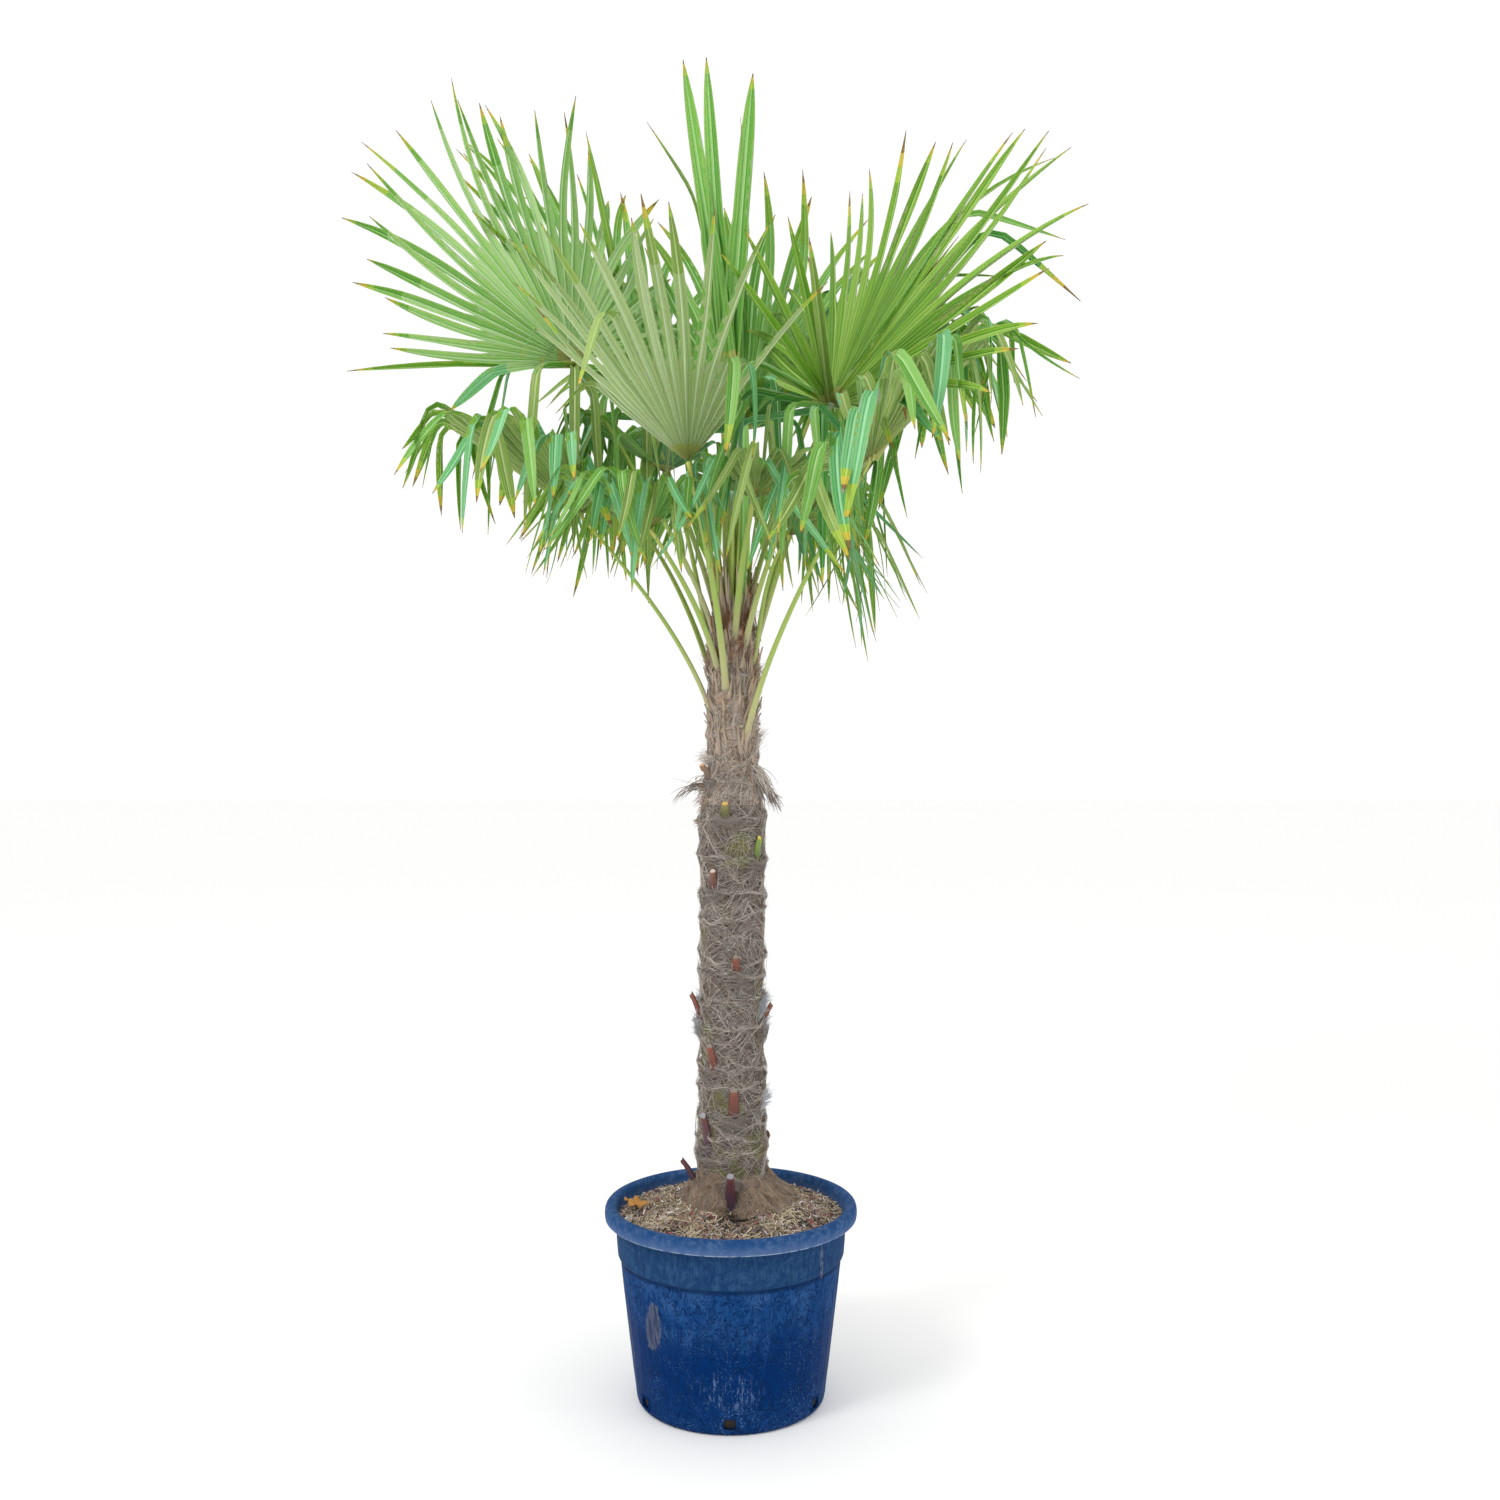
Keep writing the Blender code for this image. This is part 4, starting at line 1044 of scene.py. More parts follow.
mat_kinds = [("foot_mat_tan", 16000.0, "tan fibres"), ("foot_mat_brown", 5500.0, "brown fibres"),
             ("foot_mat_pale", 9000.0, "grey fibres")]
for seed, (name, density, finish) in enumerate(mat_kinds, 51):
    layer = grow_on(foot_ring, fibre, name, Density=density, Length=0.085, Thickness=0.0012,
                    Slant=3.1, Wander=0.07, Lift=0.012, Seed=seed, Material=bpy.data.materials[finish])
    hand_over(layer, "fibrous_bark")
for helper in (soil_top, trunk_skin, foot_ring):
    bpy.data.objects.remove(helper)

# %% [markdown]
# Between the youngest stalks the sheaths are still whole: thin red-brown sheets whose
# edges tear into points. Each is a bent strip with a slanting torn end. A few larger
# flaps hang or stand out at the neck.

# %% Sheath sheets between the stalks
SHEET_SECTION = ((-1, 0), (0, 0.0025), (1, 0), (1, -0.001), (0, 0.0015), (-1, -0.001))


SHEET_ROWS = 7


def torn_sheet(points, faces, rng, azimuth, z, wide, tall, lean=None):
    """A closed strip 1 mm thick along the trunk, upwards or down, ending in a torn point."""
    rows, first = SHEET_ROWS, len(points)
    lean, turn_by = lean or rng.uniform(0.02, 0.16), rng.uniform(-12, 12)
    peak = rng.uniform(-0.7, 0.7)
    for row in range(rows + 1):
        t = row / rows
        place, out = on_trunk(azimuth + turn_by * t, min(z + tall * t, 1.93), 0.001 + 0.003 * t)
        place.z = z + tall * t
        place += out * (lean * abs(tall) * t * t)
        side = compass(azimuth + turn_by * t + 90)
        half = wide / 2 * (1 - t ** 1.8) + 0.0008
        sway = side * (peak * wide / 2 * t * t) + out * 0.004 * math.sin(5 * t + azimuth)
        for across, proud in SHEET_SECTION:
            points.append(place + sway + side * half * across + out * proud)
    for row in range(rows):
        ring_faces(faces, first + 6 * row, first + 6 * row + 6, 6)
    faces.append(tuple(first + k for k in reversed(range(6))))
    faces.append(tuple(first + 6 * rows + k for k in range(6)))


# The flaps: compass angle, height, width, length (down if below 0), lean and finish
FLAPS = [
    (-86, 1.494, 0.018, 0.030, 2.6, 1), (-80, 1.490, 0.016, 0.026, 2.2, 1),
    (-78, 1.560, 0.024, -0.040, 0.55, 2), (82, 1.545, 0.026, -0.070, 0.80, 2),
    (76, 1.550, 0.020, -0.055, 0.60, 1), (150, 1.560, 0.026, -0.070, 0.5, 1),
    (215, 1.550, 0.026, -0.070, 0.5, 2), (-66, 1.690, 0.014, 0.050, 0.5, 2),
]
sheet_finishes = [dry_matter("red brown sheath", "#9a6a4c"), dry_matter("tan sheath", "#b09c86"),
                  dry_matter("grey brown sheath", "#9c8c7e")]
points, faces, kinds = [], [], []
for number in range(230):
    azimuth, z = rng.uniform(0, 360), rng.uniform(1.56, 1.955)
    before = len(faces)
    torn_sheet(points, faces, rng, azimuth, z, rng.uniform(0.004, 0.012), rng.uniform(0.040, 0.110))
    kinds += [rng.choice((0, 1, 2) if z > 1.84 else (1, 2))] * (len(faces) - before)
for azimuth, z, wide, tall, lean, kind in FLAPS:
    before = len(faces)
    torn_sheet(points, faces, rng, azimuth, z, wide, tall, lean)
    kinds += [kind] * (len(faces) - before)
sheets = piece("torn_sheath_sheets", points, faces, sheet_finishes, kinds)
hand_over(sheets, "fibrous_bark")

# %% [markdown]
# ## Cut leaf bases
# When an old leaf is sawn off, its thick stalk stays behind as a tongue. It is rounded on
# the outside and flat inside, widest at the foot, red-brown to purple where it has dried,
# and still green on the youngest. The saw leaves a pale flat end. Rings of points along
# each tongue make it, and the ends have a finish of their own.

# %% The cut leaf bases
BASE_AROUND = 14
BASE_ROWS = 12
BASE_THICK = 0.0075
LeafBase = namedtuple("LeafBase", "azimuth top length lean width kind")
LEAF_BASES = [LeafBase(*row) for row in (
    (-58, 1.560, 0.055, 30, 0.026, "orange"), (-10, 1.468, 0.050, 32, 0.026, "yellow"),
    (54, 1.384, 0.085, 14, 0.024, "green"), (-36, 1.304, 0.070, 12, 0.026, "pale"),
    (10, 1.098, 0.070, 21, 0.024, "red"), (-82, 0.998, 0.090, 20, 0.030, "red"),
    (84, 0.972, 0.085, 22, 0.030, "red"), (-34, 0.880, 0.090, 12, 0.026, "red"),
    (6, 0.776, 0.090, 12, 0.028, "red"), (-44, 0.712, 0.115, 12, 0.028, "purple"),
    (0, 0.580, 0.105, 20, 0.027, "purple"), (-84, 0.588, 0.080, 30, 0.020, "purple"),
    (128, 1.420, 0.075, 18, 0.026, "green"), (200, 1.190, 0.080, 16, 0.026, "pale"),
    (156, 0.930, 0.090, 15, 0.028, "red"), (236, 0.800, 0.085, 17, 0.028, "red"),
    (116, 0.640, 0.085, 20, 0.030, "purple"),
)]
# Skin colours from foot to cut end, then the colour of the cut
BASE_COLOURS = {
    "orange": "#5a4b40 #6c5a4a #86684e #dcab80", "yellow": "#4c4a34 #63623a #7b7844 #dcb266",
    "green": "#4a5330 #5f7332 #80943c #d9c65c", "pale": "#4f3c38 #5c3732 #75503f #d0bfb4",
    "red": "#46323c #64352b #7f4533 #8b7d74", "purple": "#3d3240 #4f3240 #673936 #97979b",
}


def base_skin(kind):
    """Dried stalk skin: satin, with fine upright grain and a colour change along it."""
    low, middle, high = BASE_COLOURS[kind].split()[:3]
    material, tree, shader = start_material(kind + " leaf base skin", middle, 0.5)
    along = split(tree, add(tree, "ShaderNodeUVMap", uv_map="along").outputs[0])[1]
    place = object_place(tree)
    grain = noise_of(tree, place, 260, 3, stretch=(1, 1, 0.15))
    colour = ramp(tree, along, [(0.0, low), (0.45, middle), (0.95, high)])
    colour = blend(tree, product(tree, between(tree, grain, 0.55, 0.75), 0.35), colour, "#3b2b28")
    tree.links.new(colour, shader.inputs["Base Color"])
    relief(tree, shader, grain, 0.0008)
    return material


def cut_end(kind):
    """Fresh or weathered saw cut: matt, with the stumps of fibre strands as dots."""
    colour = BASE_COLOURS[kind].split()[3]
    material, tree, shader = start_material(kind + " leaf base cut", colour, 0.85)
    place = object_place(tree)
    strands = add(tree, "ShaderNodeTexVoronoi", {"Vector": place, "Scale": 600.0}).outputs["Distance"]
    relief(tree, shader, strands, 0.0006)
    return material


def leaf_base(points, faces, uvs, kinds, base, finishes):
    """Adds a tongue that leans out of the trunk, with its slanting saw cut."""
    out = compass(base.azimuth)
    lean = math.radians(base.lean)
    axis = UP * math.cos(lean) + out * math.sin(lean)
    side = UP.cross(out)
    outer = side.cross(axis)
    foot = out * (stem_radius(base.top - base.length) - 0.012)
    foot += UP * (base.top - base.length * math.cos(lean))
    first, around, rows = len(points), BASE_AROUND, BASE_ROWS
    for row in range(rows + 1):
        t = row / rows
        wide = base.width / 2 * (1.25 - 0.62 * t ** 0.8)
        thick = BASE_THICK * (1.6 - 0.6 * t)
        bow = outer * -0.004 * math.sin(math.pi * t) + side * 0.006 * math.sin(base.azimuth) * t * t
        centre = foot + axis * (base.length * t) + bow
        for k in range(around):
            a = 2 * math.pi * k / around
            x, y = math.cos(a), math.sin(a)
            y = y if y > 0 else y * 0.45
            slope = axis * ((y + 0.4) * 0.012 if row == rows else 0)
            points.append(centre + side * wide * x + outer * thick * y - slope)
    skin, end = finishes
    for row in range(rows):
        ring_faces(faces, first + row * around, first + (row + 1) * around, around)
        uvs += ([(0, row / rows)] * 2 + [(0, (row + 1) / rows)] * 2) * around
        kinds += [skin] * around
    faces.append(tuple(range(first + rows * around, first + (rows + 1) * around)))
    faces.append(tuple(reversed(range(first, first + around))))
    uvs += [(0, 1)] * around + [(0, 0)] * around
    kinds += [end, skin]


materials, slots = [], {}
for kind in BASE_COLOURS:
    slots[kind] = (len(materials), len(materials) + 1)
    materials += [base_skin(kind), cut_end(kind)]
points, faces, uvs, kinds = [], [], [], []
for base in LEAF_BASES:
    leaf_base(points, faces, uvs, kinds, base, slots[base.kind])
bases = piece("cut_leaf_bases", points, faces, materials, kinds, uvs)
# Fibres of the mat cross each base's foot, bulging out over it
wraps, wrap_faces = [], []
for base in LEAF_BASES:
    foot_height = base.top - base.length
    for _ in range(46):
        sweep = rng.uniform(24, 60)
        z = foot_height + base.length * rng.uniform(-0.14, 0.30)
        slope = rng.uniform(-0.0009, 0.0009)
        centre = base.azimuth + rng.uniform(-14, 14)
        proud = 0.007 + 0.5 * (z - foot_height) * math.sin(math.radians(base.lean))
        proud += rng.uniform(0, 0.003)
        path = wrapped_path(centre, sweep, lambda a: z + slope * (a - centre), proud, 8)
        tube(wraps, wrap_faces, path, BRISTLE)
# The slipped mat arches over the lowest front base
for _ in range(110):
    top, peak = rng.uniform(0.536, 0.562), rng.uniform(-4, 8)
    fall_off = rng.uniform(0.00005, 0.00011)
    sweep, proud = rng.uniform(40, 66), rng.uniform(0.004, 0.022)
    path = wrapped_path(peak, sweep, lambda a: top - fall_off * (a - peak) ** 2, proud, 12)
    tube(wraps, wrap_faces, path, LOOSE)
wrap = piece("fibres_over_leaf_bases", wraps, wrap_faces, [bpy.data.materials["grey fibres"]])
hand_over(wrap, "fibrous_bark")
bm = bmesh.new()
bm.from_mesh(bases.data)
bmesh.ops.recalc_face_normals(bm, faces=bm.faces)
bm.to_mesh(bases.data)
bm.free()
bases.data.set_sharp_from_angle(angle=math.radians(50))
base_names = ["cut_leaf_base_%02d" % (k + 1) for k in range(len(LEAF_BASES))]
hand_over(bases, "leaf_base", *base_names)

# %% [markdown]
# ## The leaves
# A windmill palm's leaf is a stalk and a fan. The table gives each leaf's stalk and fan as
# the solids have them: where the hub stands, where the stalk starts, how the fan aims,
# and where its leaflets bend and hang. The functions after it are the solids' own rule.

# %% The leaves' table and rule
Leaf = namedtuple("Leaf", "name azimuth reach height foot aim lift roll span blade cup bend droop")
LEAVES = [Leaf(*row) for row in (
    ("front_centre", 348, 0.430, 2.235, 1.700, 338, 46, 0, 110, 0.61, 0.30, 0.90, 0.10),
    ("upper_left", 288, 0.395, 2.525, 1.870, 277, 66, 46, 180, 0.725, 0.00, 0.92, 0.10),
    ("upper_right", 37, 0.380, 2.385, 1.800, 87, 61, -31, 170, 0.745, 0.00, 0.92, 0.10),
    ("front_right", 40, 0.490, 2.245, 1.580, 64, 45, -14, 214, 0.71, 0.10, 0.58, 1.00),
    ("front_low", 12, 0.270, 2.180, 1.840, 14, 22, 0, 176, 0.52, 0.15, 0.42, 1.00),
    ("far_right", 94, 0.300, 2.440, 1.780, 100, 30, 0, 184, 0.70, 0.15, 0.62, 0.80),
    ("lower_left", 278, 0.375, 2.173, 1.664, 268, 36, 0, 214, 0.66, 0.20, 0.62, 1.00),
    ("front_left", 322, 0.300, 2.110, 1.760, 312, 28, 0, 160, 0.50, 0.20, 0.50, 0.95),
    ("inner_left", 248, 0.180, 2.290, 1.800, 236, 34, 0, 160, 0.62, 0.20, 0.50, 1.00),
    ("spear", 200, 0.020, 2.540, 1.960, 180, 87, 0, 24, 0.76, 0.00, 1.00, 0.00),
    ("upper_back", 165, 0.120, 2.420, 1.930, 168, 74, 0, 92, 0.69, 0.05, 0.80, 0.30),
    ("upper_back_left", 232, 0.300, 2.500, 1.900, 236, 66, 0, 132, 0.80, 0.10, 0.84, 0.20),
    ("upper_back_right", 126, 0.270, 2.490, 1.900, 126, 60, 0, 136, 0.68, 0.10, 0.60, 0.65),
    ("low_right", 74, 0.150, 2.120, 1.740, 82, 10, 0, 178, 0.47, 0.20, 0.34, 0.95),
    ("low_back_right", 130, 0.240, 2.210, 1.700, 128, 14, 0, 180, 0.54, 0.20, 0.38, 0.95),
    ("low_back", 182, 0.380, 2.200, 1.680, 182, 25, 0, 190, 0.68, 0.20, 0.55, 0.90),
    ("low_back_left", 226, 0.330, 2.170, 1.700, 226, 22, 0, 170, 0.50, 0.20, 0.50, 0.90),
    ("far_back", 184, 0.380, 2.460, 1.860, 182, 40, 0, 150, 0.74, 0.10, 0.72, 0.60),
)]
SOLID_STEP = 8.4
LEAFLET_STEP = 6.0
SPLIT = 0.52
SPINE_STEPS = 48
STALK_FOOT = 0.0105
STALK_TIP = 0.0060


def blade_axes(leaf):
    """The directions along, across and up out of a leaf's fan."""
    axis = compass(leaf.aim, leaf.lift)
    upper = compass(leaf.aim + 180, 90 - leaf.lift)
    side = axis.cross(upper)
    roll = math.radians(leaf.roll)
    across = side * math.cos(roll) + upper * math.sin(roll)
    return axis, across, upper * math.cos(roll) - side * math.sin(roll)


def leaflet_direction(leaf, angle):
    """Where a leaflet points that lies at this angle from the fan's middle."""
    axis, across, upper = blade_axes(leaf)
    lifted = upper * (2 * leaf.cup * math.sin(angle) ** 2)
    return (axis * math.cos(angle) + across * math.sin(angle) + lifted).normalized()


def hub_of(leaf):
    return compass(leaf.azimuth) * leaf.reach + UP * leaf.height


def leaflet_spine(leaf, start, ahead, length, bend, droop, fall):
    """Points along a leaflet's midrib, with the direction across it and its heading."""
    across = (ahead - start * ahead.dot(start)).normalized()
    droop *= ease(abs(start.cross(across).z) / 0.55)
    point, spine = hub_of(leaf), []
    for k in range(SPINE_STEPS + 1):
        share = k / SPINE_STEPS
        weight = droop * ease((share - bend + 0.07) / 0.18)
        heading = (start * (1 - weight) + fall * weight - UP * 0.10 * share * share).normalized()
        level = (across - heading * across.dot(heading)).normalized()
        spine.append((point.copy(), level, heading))
        point += heading * length / SPINE_STEPS
    return spine


def along(spine, share):
    """The point, direction across and heading at this share of a midrib's length."""
    place = min(max(share, 0.0), 1.0) * (len(spine) - 1)
    k = min(int(place), len(spine) - 2)
    return tuple(a.lerp(b, place - k) for a, b in zip(spine[k], spine[k + 1]))


def drawn_leaflets(leaf, seed):
    """The solid's leaflets, as length, bend and droop, and the notches between them."""
    rng = random.Random(seed)
    count = max(4, round(leaf.span / SOLID_STEP))
    split = min(SPLIT, leaf.bend - 0.08)
    rows = []
    for k in range(count):
        side = abs((k + 0.5) / count - 0.5) * 2
        length = leaf.blade * (1 - 0.28 * side ** 2.5) * (1 + rng.uniform(-0.04, 0.04))
        droop = leaf.droop * (1 + rng.uniform(-0.30, 0.12))
        bend = leaf.bend + rng.uniform(-0.05, 0.05)
        if side > 0.86 and leaf.droop < 0.4 and leaf.span > 60:
            droop, bend = max(droop, 0.75 + rng.uniform(-0.2, 0.2)), 0.62 + rng.uniform(-0.06, 0.06)
        rows.append((length, bend, droop))
    lengths = [row[0] for row in rows]
    notches = [lengths[0] * split * 0.9]
    for first, second in zip(lengths, lengths[1:]):
        notches.append(min(first, second) * split * rng.uniform(0.88, 1.06))
    return rows, notches + [lengths[-1] * split * 0.9]


# %% [markdown]
# A stalk is a tapering rod, flat above and keeled below, that leaves the fibre pale and
# dull and turns yellow-green towards the fan. The solids' Bezier curve is sampled here
# by hand, so that the section can be shaped and a UV map can carry the colour along it.

# %% The stalks
stalk_skin, tree, shader = start_material("waxy yellow green stalk", "#8fa354", 0.42)
along_it = split(tree, add(tree, "ShaderNodeUVMap", uv_map="along").outputs[0])
place = object_place(tree)
mottle = noise_of(tree, place, 40, 4)
fleck = noise_of(tree, place, 300, 2, stretch=(1, 1, 0.3))
grade = sums(tree, "MULTIPLY_ADD", mottle, 0.12, sums(tree, "SUBTRACT", along_it[1], 0.06))
colour = ramp(tree, grade, [(0.02, "#a89c82"), (0.16, "#adb074"), (0.34, "#9ab154"),
                            (0.75, "#95b04c"), (0.98, "#b6ba5a")])
colour = blend(tree, product(tree, between(tree, fleck, 0.60, 0.72), 0.3), colour, "#5f7a34")
tree.links.new(colour, shader.inputs["Base Color"])
relief(tree, shader, fleck, 0.0004, 0.5)


def stalk_handles(leaf):
    """The four points of the stalk's Bezier curve."""
    out = compass(leaf.azimuth)
    foot = out * (stem_radius(leaf.foot) - 0.020) + UP * leaf.foot
    hub = hub_of(leaf)
    chord = (hub - foot).length
    arrive = (blade_axes(leaf)[0] + (hub - foot).normalized() * 1.5).normalized()
    return foot, foot + (UP + out * 0.30).normalized() * chord * 0.33, hub - arrive * chord * 0.30, hub


def stalk_mesh(leaf, rows=34, around=10):
    """Points, faces and UVs of a stalk along its Bezier curve."""
    a, b, c, d = stalk_handles(leaf)
    path = []
    for row in range(rows + 1):
        t = row / rows
        path.append(a * (1 - t) ** 3 + b * 3 * t * (1 - t) ** 2 + c * 3 * t * t * (1 - t)
                    + d * t ** 3)
    points, faces, uvs = [], [], []
    upper = blade_axes(leaf)[2]
    for row, point in enumerate(path):
        t = row / rows
        ahead = (path[min(row + 1, rows)] - path[max(row - 1, 0)]).normalized()
        face = upper * t - compass(leaf.azimuth) * (1 - t)
        face = (face - ahead * face.dot(ahead)).normalized()
        side = ahead.cross(face)
        radius = STALK_FOOT + (STALK_TIP - STALK_FOOT) * t
        wide, thick = radius * (0.92 + 0.6 * max(0, 1 - t / 0.12)), radius * 0.80
        for k in range(around):
            turn_by = 2 * math.pi * k / around
            x, y = math.cos(turn_by), math.sin(turn_by)
            points.append(point + side * wide * x + face * thick * (y * 0.55 if y > 0 else y))
    for row in range(rows):
        ring_faces(faces, row * around, (row + 1) * around, around)
        for k in range(around):
            uvs += [(k / around, row / rows)] * 2 + [(k / around, (row + 1) / rows)] * 2
    faces.append(tuple(reversed(range(around))))
    faces.append(tuple(range(rows * around, (rows + 1) * around)))
    return points, faces, uvs + [(0, 0)] * around + [(0, 1)] * around


for leaf in LEAVES:
    points, faces, uvs = stalk_mesh(leaf)
    stalk = piece("stalk_of_" + leaf.name, points, faces, [stalk_skin], None, uvs)
    hand_over(stalk, "leaf_stalk", "stalk_" + leaf.name)

# %% [markdown]
# Between the youngest stalks the next leaves push up as closed green sheaths. They are
# tapering tubes on short slanting paths, with a mottled finish of their own.

# %% Young sheaths at the trunk's top
young_green, tree, shader = start_material("young green sheath", "#94a84c", 0.45)
mottle = noise_of(tree, object_place(tree), 60, 4, stretch=(1, 1, 0.2))
colour = ramp(tree, mottle, [(0.30, "#7f8f42"), (0.55, "#98ac4c"), (0.75, "#b3b85c")])
tree.links.new(colour, shader.inputs["Base Color"])
relief(tree, shader, mottle, 0.0005, 0.5)
rng, points, faces = random.Random(77), [], []
for number in range(11):
    out = compass(number * 131 + rng.uniform(-12, 12))
    foot = out * rng.uniform(0.012, 0.036) + UP * (1.90 + rng.uniform(-0.01, 0.03))
    lean = out * rng.uniform(0.02, 0.16)
    path = [foot + (UP + lean) * (0.30 * k / 6) * rng.uniform(0.98, 1.0) for k in range(7)]
    tube(points, faces, path, rng.uniform(0.013, 0.020))
young = piece("young_sheaths", points, faces, [young_green])
hand_over(young, "leaf_stalk")

# %% [markdown]
# A living leaf is glossy green above and dull, pale and waxy below, and lets some light
# through. Colour that has a place on a leaflet is a plain colour on the faces there:
# yellow-green by the hub, fresh or bluish green along it, then yellow, brown and grey at
# a dried tip. Each half of a leaflet is dealt one of three shades of its leaf's greens:
# partly random tone, and partly painted light and shade, a lighter and a darker half on the
# two sides of the fold.
# Parallel veins, about five across a leaflet, come as bump from a wave across its UV map,
# and a cloudy noise varies its shine.

# %% The leaves' finishes
def leaf_finish(name, colour, roughness):
    """One green, yellow, brown or grey of the leaves, with veins and some light through it."""
    material, tree, shader = start_material(name, colour, roughness, Subsurface_Weight=0.25,
                                            Subsurface_Scale=0.004, Specular_IOR_Level=0.35)
    shader.inputs["Subsurface Radius"].default_value = (0.5, 1.0, 0.15)
    across = add(tree, "ShaderNodeUVMap", uv_map="along").outputs[0]
    veins = add(tree, "ShaderNodeTexWave", {"Vector": across, "Scale": 1.6, "Distortion": 0.0})
    cloudy = noise_of(tree, object_place(tree), 55, 3)
    relief(tree, shader, veins.outputs[1], 0.0016, 0.8)
    shine = sums(tree, "MULTIPLY_ADD", between(tree, cloudy, -0.4, 1.3), 0.4, roughness - 0.2)
    tree.links.new(shine, shader.inputs["Roughness"])
    return material


# Three shades of each, then its midrib's
LEAF_COLOURS = {
    "pale": "#9cb079 #8aa067 #a9bb8b #bac99f", "soft": "#94bf70 #7dab5a #a8cd8a #bcd8a2",
    "bright": "#6f9c2e #5e8b25 #82aa42 #9cba60", "olive": "#84a04e #708b40 #94ad60 #adbc7b",
    "fresh": "#6ea446 #5b9238 #81b35a #9bc37a", "deep": "#3f8034 #33702c #4f9042 #6aa25a",
    "blue": "#68ac70 #569a5e #7bbb80 #93cb97", "hub": "#9da758 #90994c #aab264 #bcc07c",
    "lime": "#98b93c #8cb038 #a8c048 #b8c860", "yellow": "#cdb83c #c0a838 #d6ad3e #d6c050",
    "brown": "#8f6238 #75523a #a07850 #a88058", "grey": "#a89c8e #85786c #bcb0a0 #c4b8aa",
}
LEAF_ROUGHNESS = {"deep": 0.40, "blue": 0.42, "pale": 0.62, "soft": 0.55, "grey": 0.85, "brown": 0.80}
LEAF_MATERIALS, LEAF_SLOTS = [], {}
for name, shades in LEAF_COLOURS.items():
    LEAF_SLOTS[name] = len(LEAF_MATERIALS)
    for part, shade in zip(("leaf 1", "leaf 2", "leaf 3", "midrib"), shades.split()):
        LEAF_MATERIALS.append(leaf_finish(name + " " + part, shade, LEAF_ROUGHNESS.get(name, 0.5)))

# %% [markdown]
# Each leaflet is a long closed lens, folded along its midrib into a V. Up to the notch its
# edges lie on its neighbours', so the fan looks pleated. Past the notch it folds tighter,
# which leaves a gap to the next one, and it follows the solid's midrib. A real fan has a
# leaflet every 6 degrees, where the solid has one every 8.4, so each leaflet takes its
# length and bend from the nearest one of the solid's. It sways and twists a little on its
# own. Short tables place the few that stand out in the photograph, and say for which
# leaves all leaflets are split deeper or are shorter. The midrib has its own paler
# finish. A leaflet has about 170 faces, since there are some five hundred of them.

# %% Grow the fans
# A leaflet's thickness, the reach of the hub's yellow, and the share of its width that a
# leaflet keeps past the notch. No leaflet is wider than twice WIDEST. Its halves fold up
# by 0.78 radians at the hub and flatten by 0.22 towards the end.
HUB_FOLD = 0.78
FLATTENING = 0.22
THICK = 0.0006
HUB_ZONE = 0.050
TIGHT = 0.80
WIDEST = 0.0170
STRAY_NOTCH = 0.05
# Where a row's eight points lie across the UV map, and the lime, yellow and brown shares
# of a leaflet's end
ACROSS = (0.0, 0.42, 0.5, 0.58, 1.0, 0.58, 0.5, 0.42, 0.0)
DRY_ENDS = [(0.022, 0.018, 0.012)] * 6 + [(0.030, 0.028, 0.022)] * 4
DRY_ENDS += [(0.034, 0.034, 0.040)] * 2
DRY_ENDS += [(0.050, 0.040, 0.065), (0.012, 0.012, 0.010), (0.080, 0.028, 0.026)]
# Leaflets that differ, by leaf and number along the fan
SPECIAL = {("spear", 2): {"skip": True}}
for number, angle, length, sway, twist, wide in (
        (0, -8.0, 0.795, 0.0, 0.2, 1.4), (1, -4.5, 0.795, 0.02, -0.2, 1.3),
        (3, 4.5, 0.755, 0.0, 0.1, 1.5)):
    SPECIAL["spear", number] = {"angle": angle, "length": length, "droop": 0.0, "sway": sway,
                                "twist": twist, "rise": 0.0, "wide": wide}
for number, length in ((3, 0.56), (4, 0.57), (5, 0.58), (6, 0.60), (7, 0.63), (8, 0.64),
                       (9, 0.65), (10, 0.67), (20, 0.77), (21, 0.76)):
    SPECIAL["upper_left", number] = {"length": length}
for number, bend, fall, length in (
        (0, 0.40, (270, -60), 0.46), (2, 0.56, (90, -65), 0.50), (3, 0.54, (180, -85), 0.50),
        (10, 0.64, (300, -76), 0.58), (15, 0.80, (300, -50), 0.56)):
    SPECIAL["front_centre", number] = {"bend": bend, "droop": 1.0, "fall": fall, "length": length}
# How deep the notches go between leaflets, against the solid's
OPEN = {"front_centre": 0.74, "upper_left": 0.84, "upper_right": 0.84}
# How long the leaflets are, against the solid's
REACH = {"far_right": 0.91, "upper_left": 0.965, "spear": 0.98}


def leaflet_rows(length, notch, bend, droop, ends):
    """The shares of a leaflet's length where its rows lie, closer together at a bend."""
    start = notch / length
    shares = [0.012, 0.06, HUB_ZONE / length, 0.24, 0.36, start - 0.04, start + 0.01, start + 0.05]
    tail = start + 0.05
    if droop > 0.35 and start < bend < 0.90:
        shares += [bend - 0.07, bend - 0.03, bend, bend + 0.03, bend + 0.07, bend + 0.12]
        tail = max(tail, bend + 0.12)
    lime, yellow, brown = ends
    end = 1 - lime - yellow - brown
    steps = 5 if tail > 0.7 else 8
    shares += [tail + (end - tail) * (k + 1) / steps for k in range(steps)]
    shares += [1 - yellow - brown, 1 - brown, 1 - brown / 2, 1.0]
    shares = sorted(share for share in shares if 0 < share <= 1.0)
    kept = [shares[0]]
    for share in shares[1:]:
        if share - kept[-1] > 0.007 or share == 1.0:
            kept.append(share)
    return kept


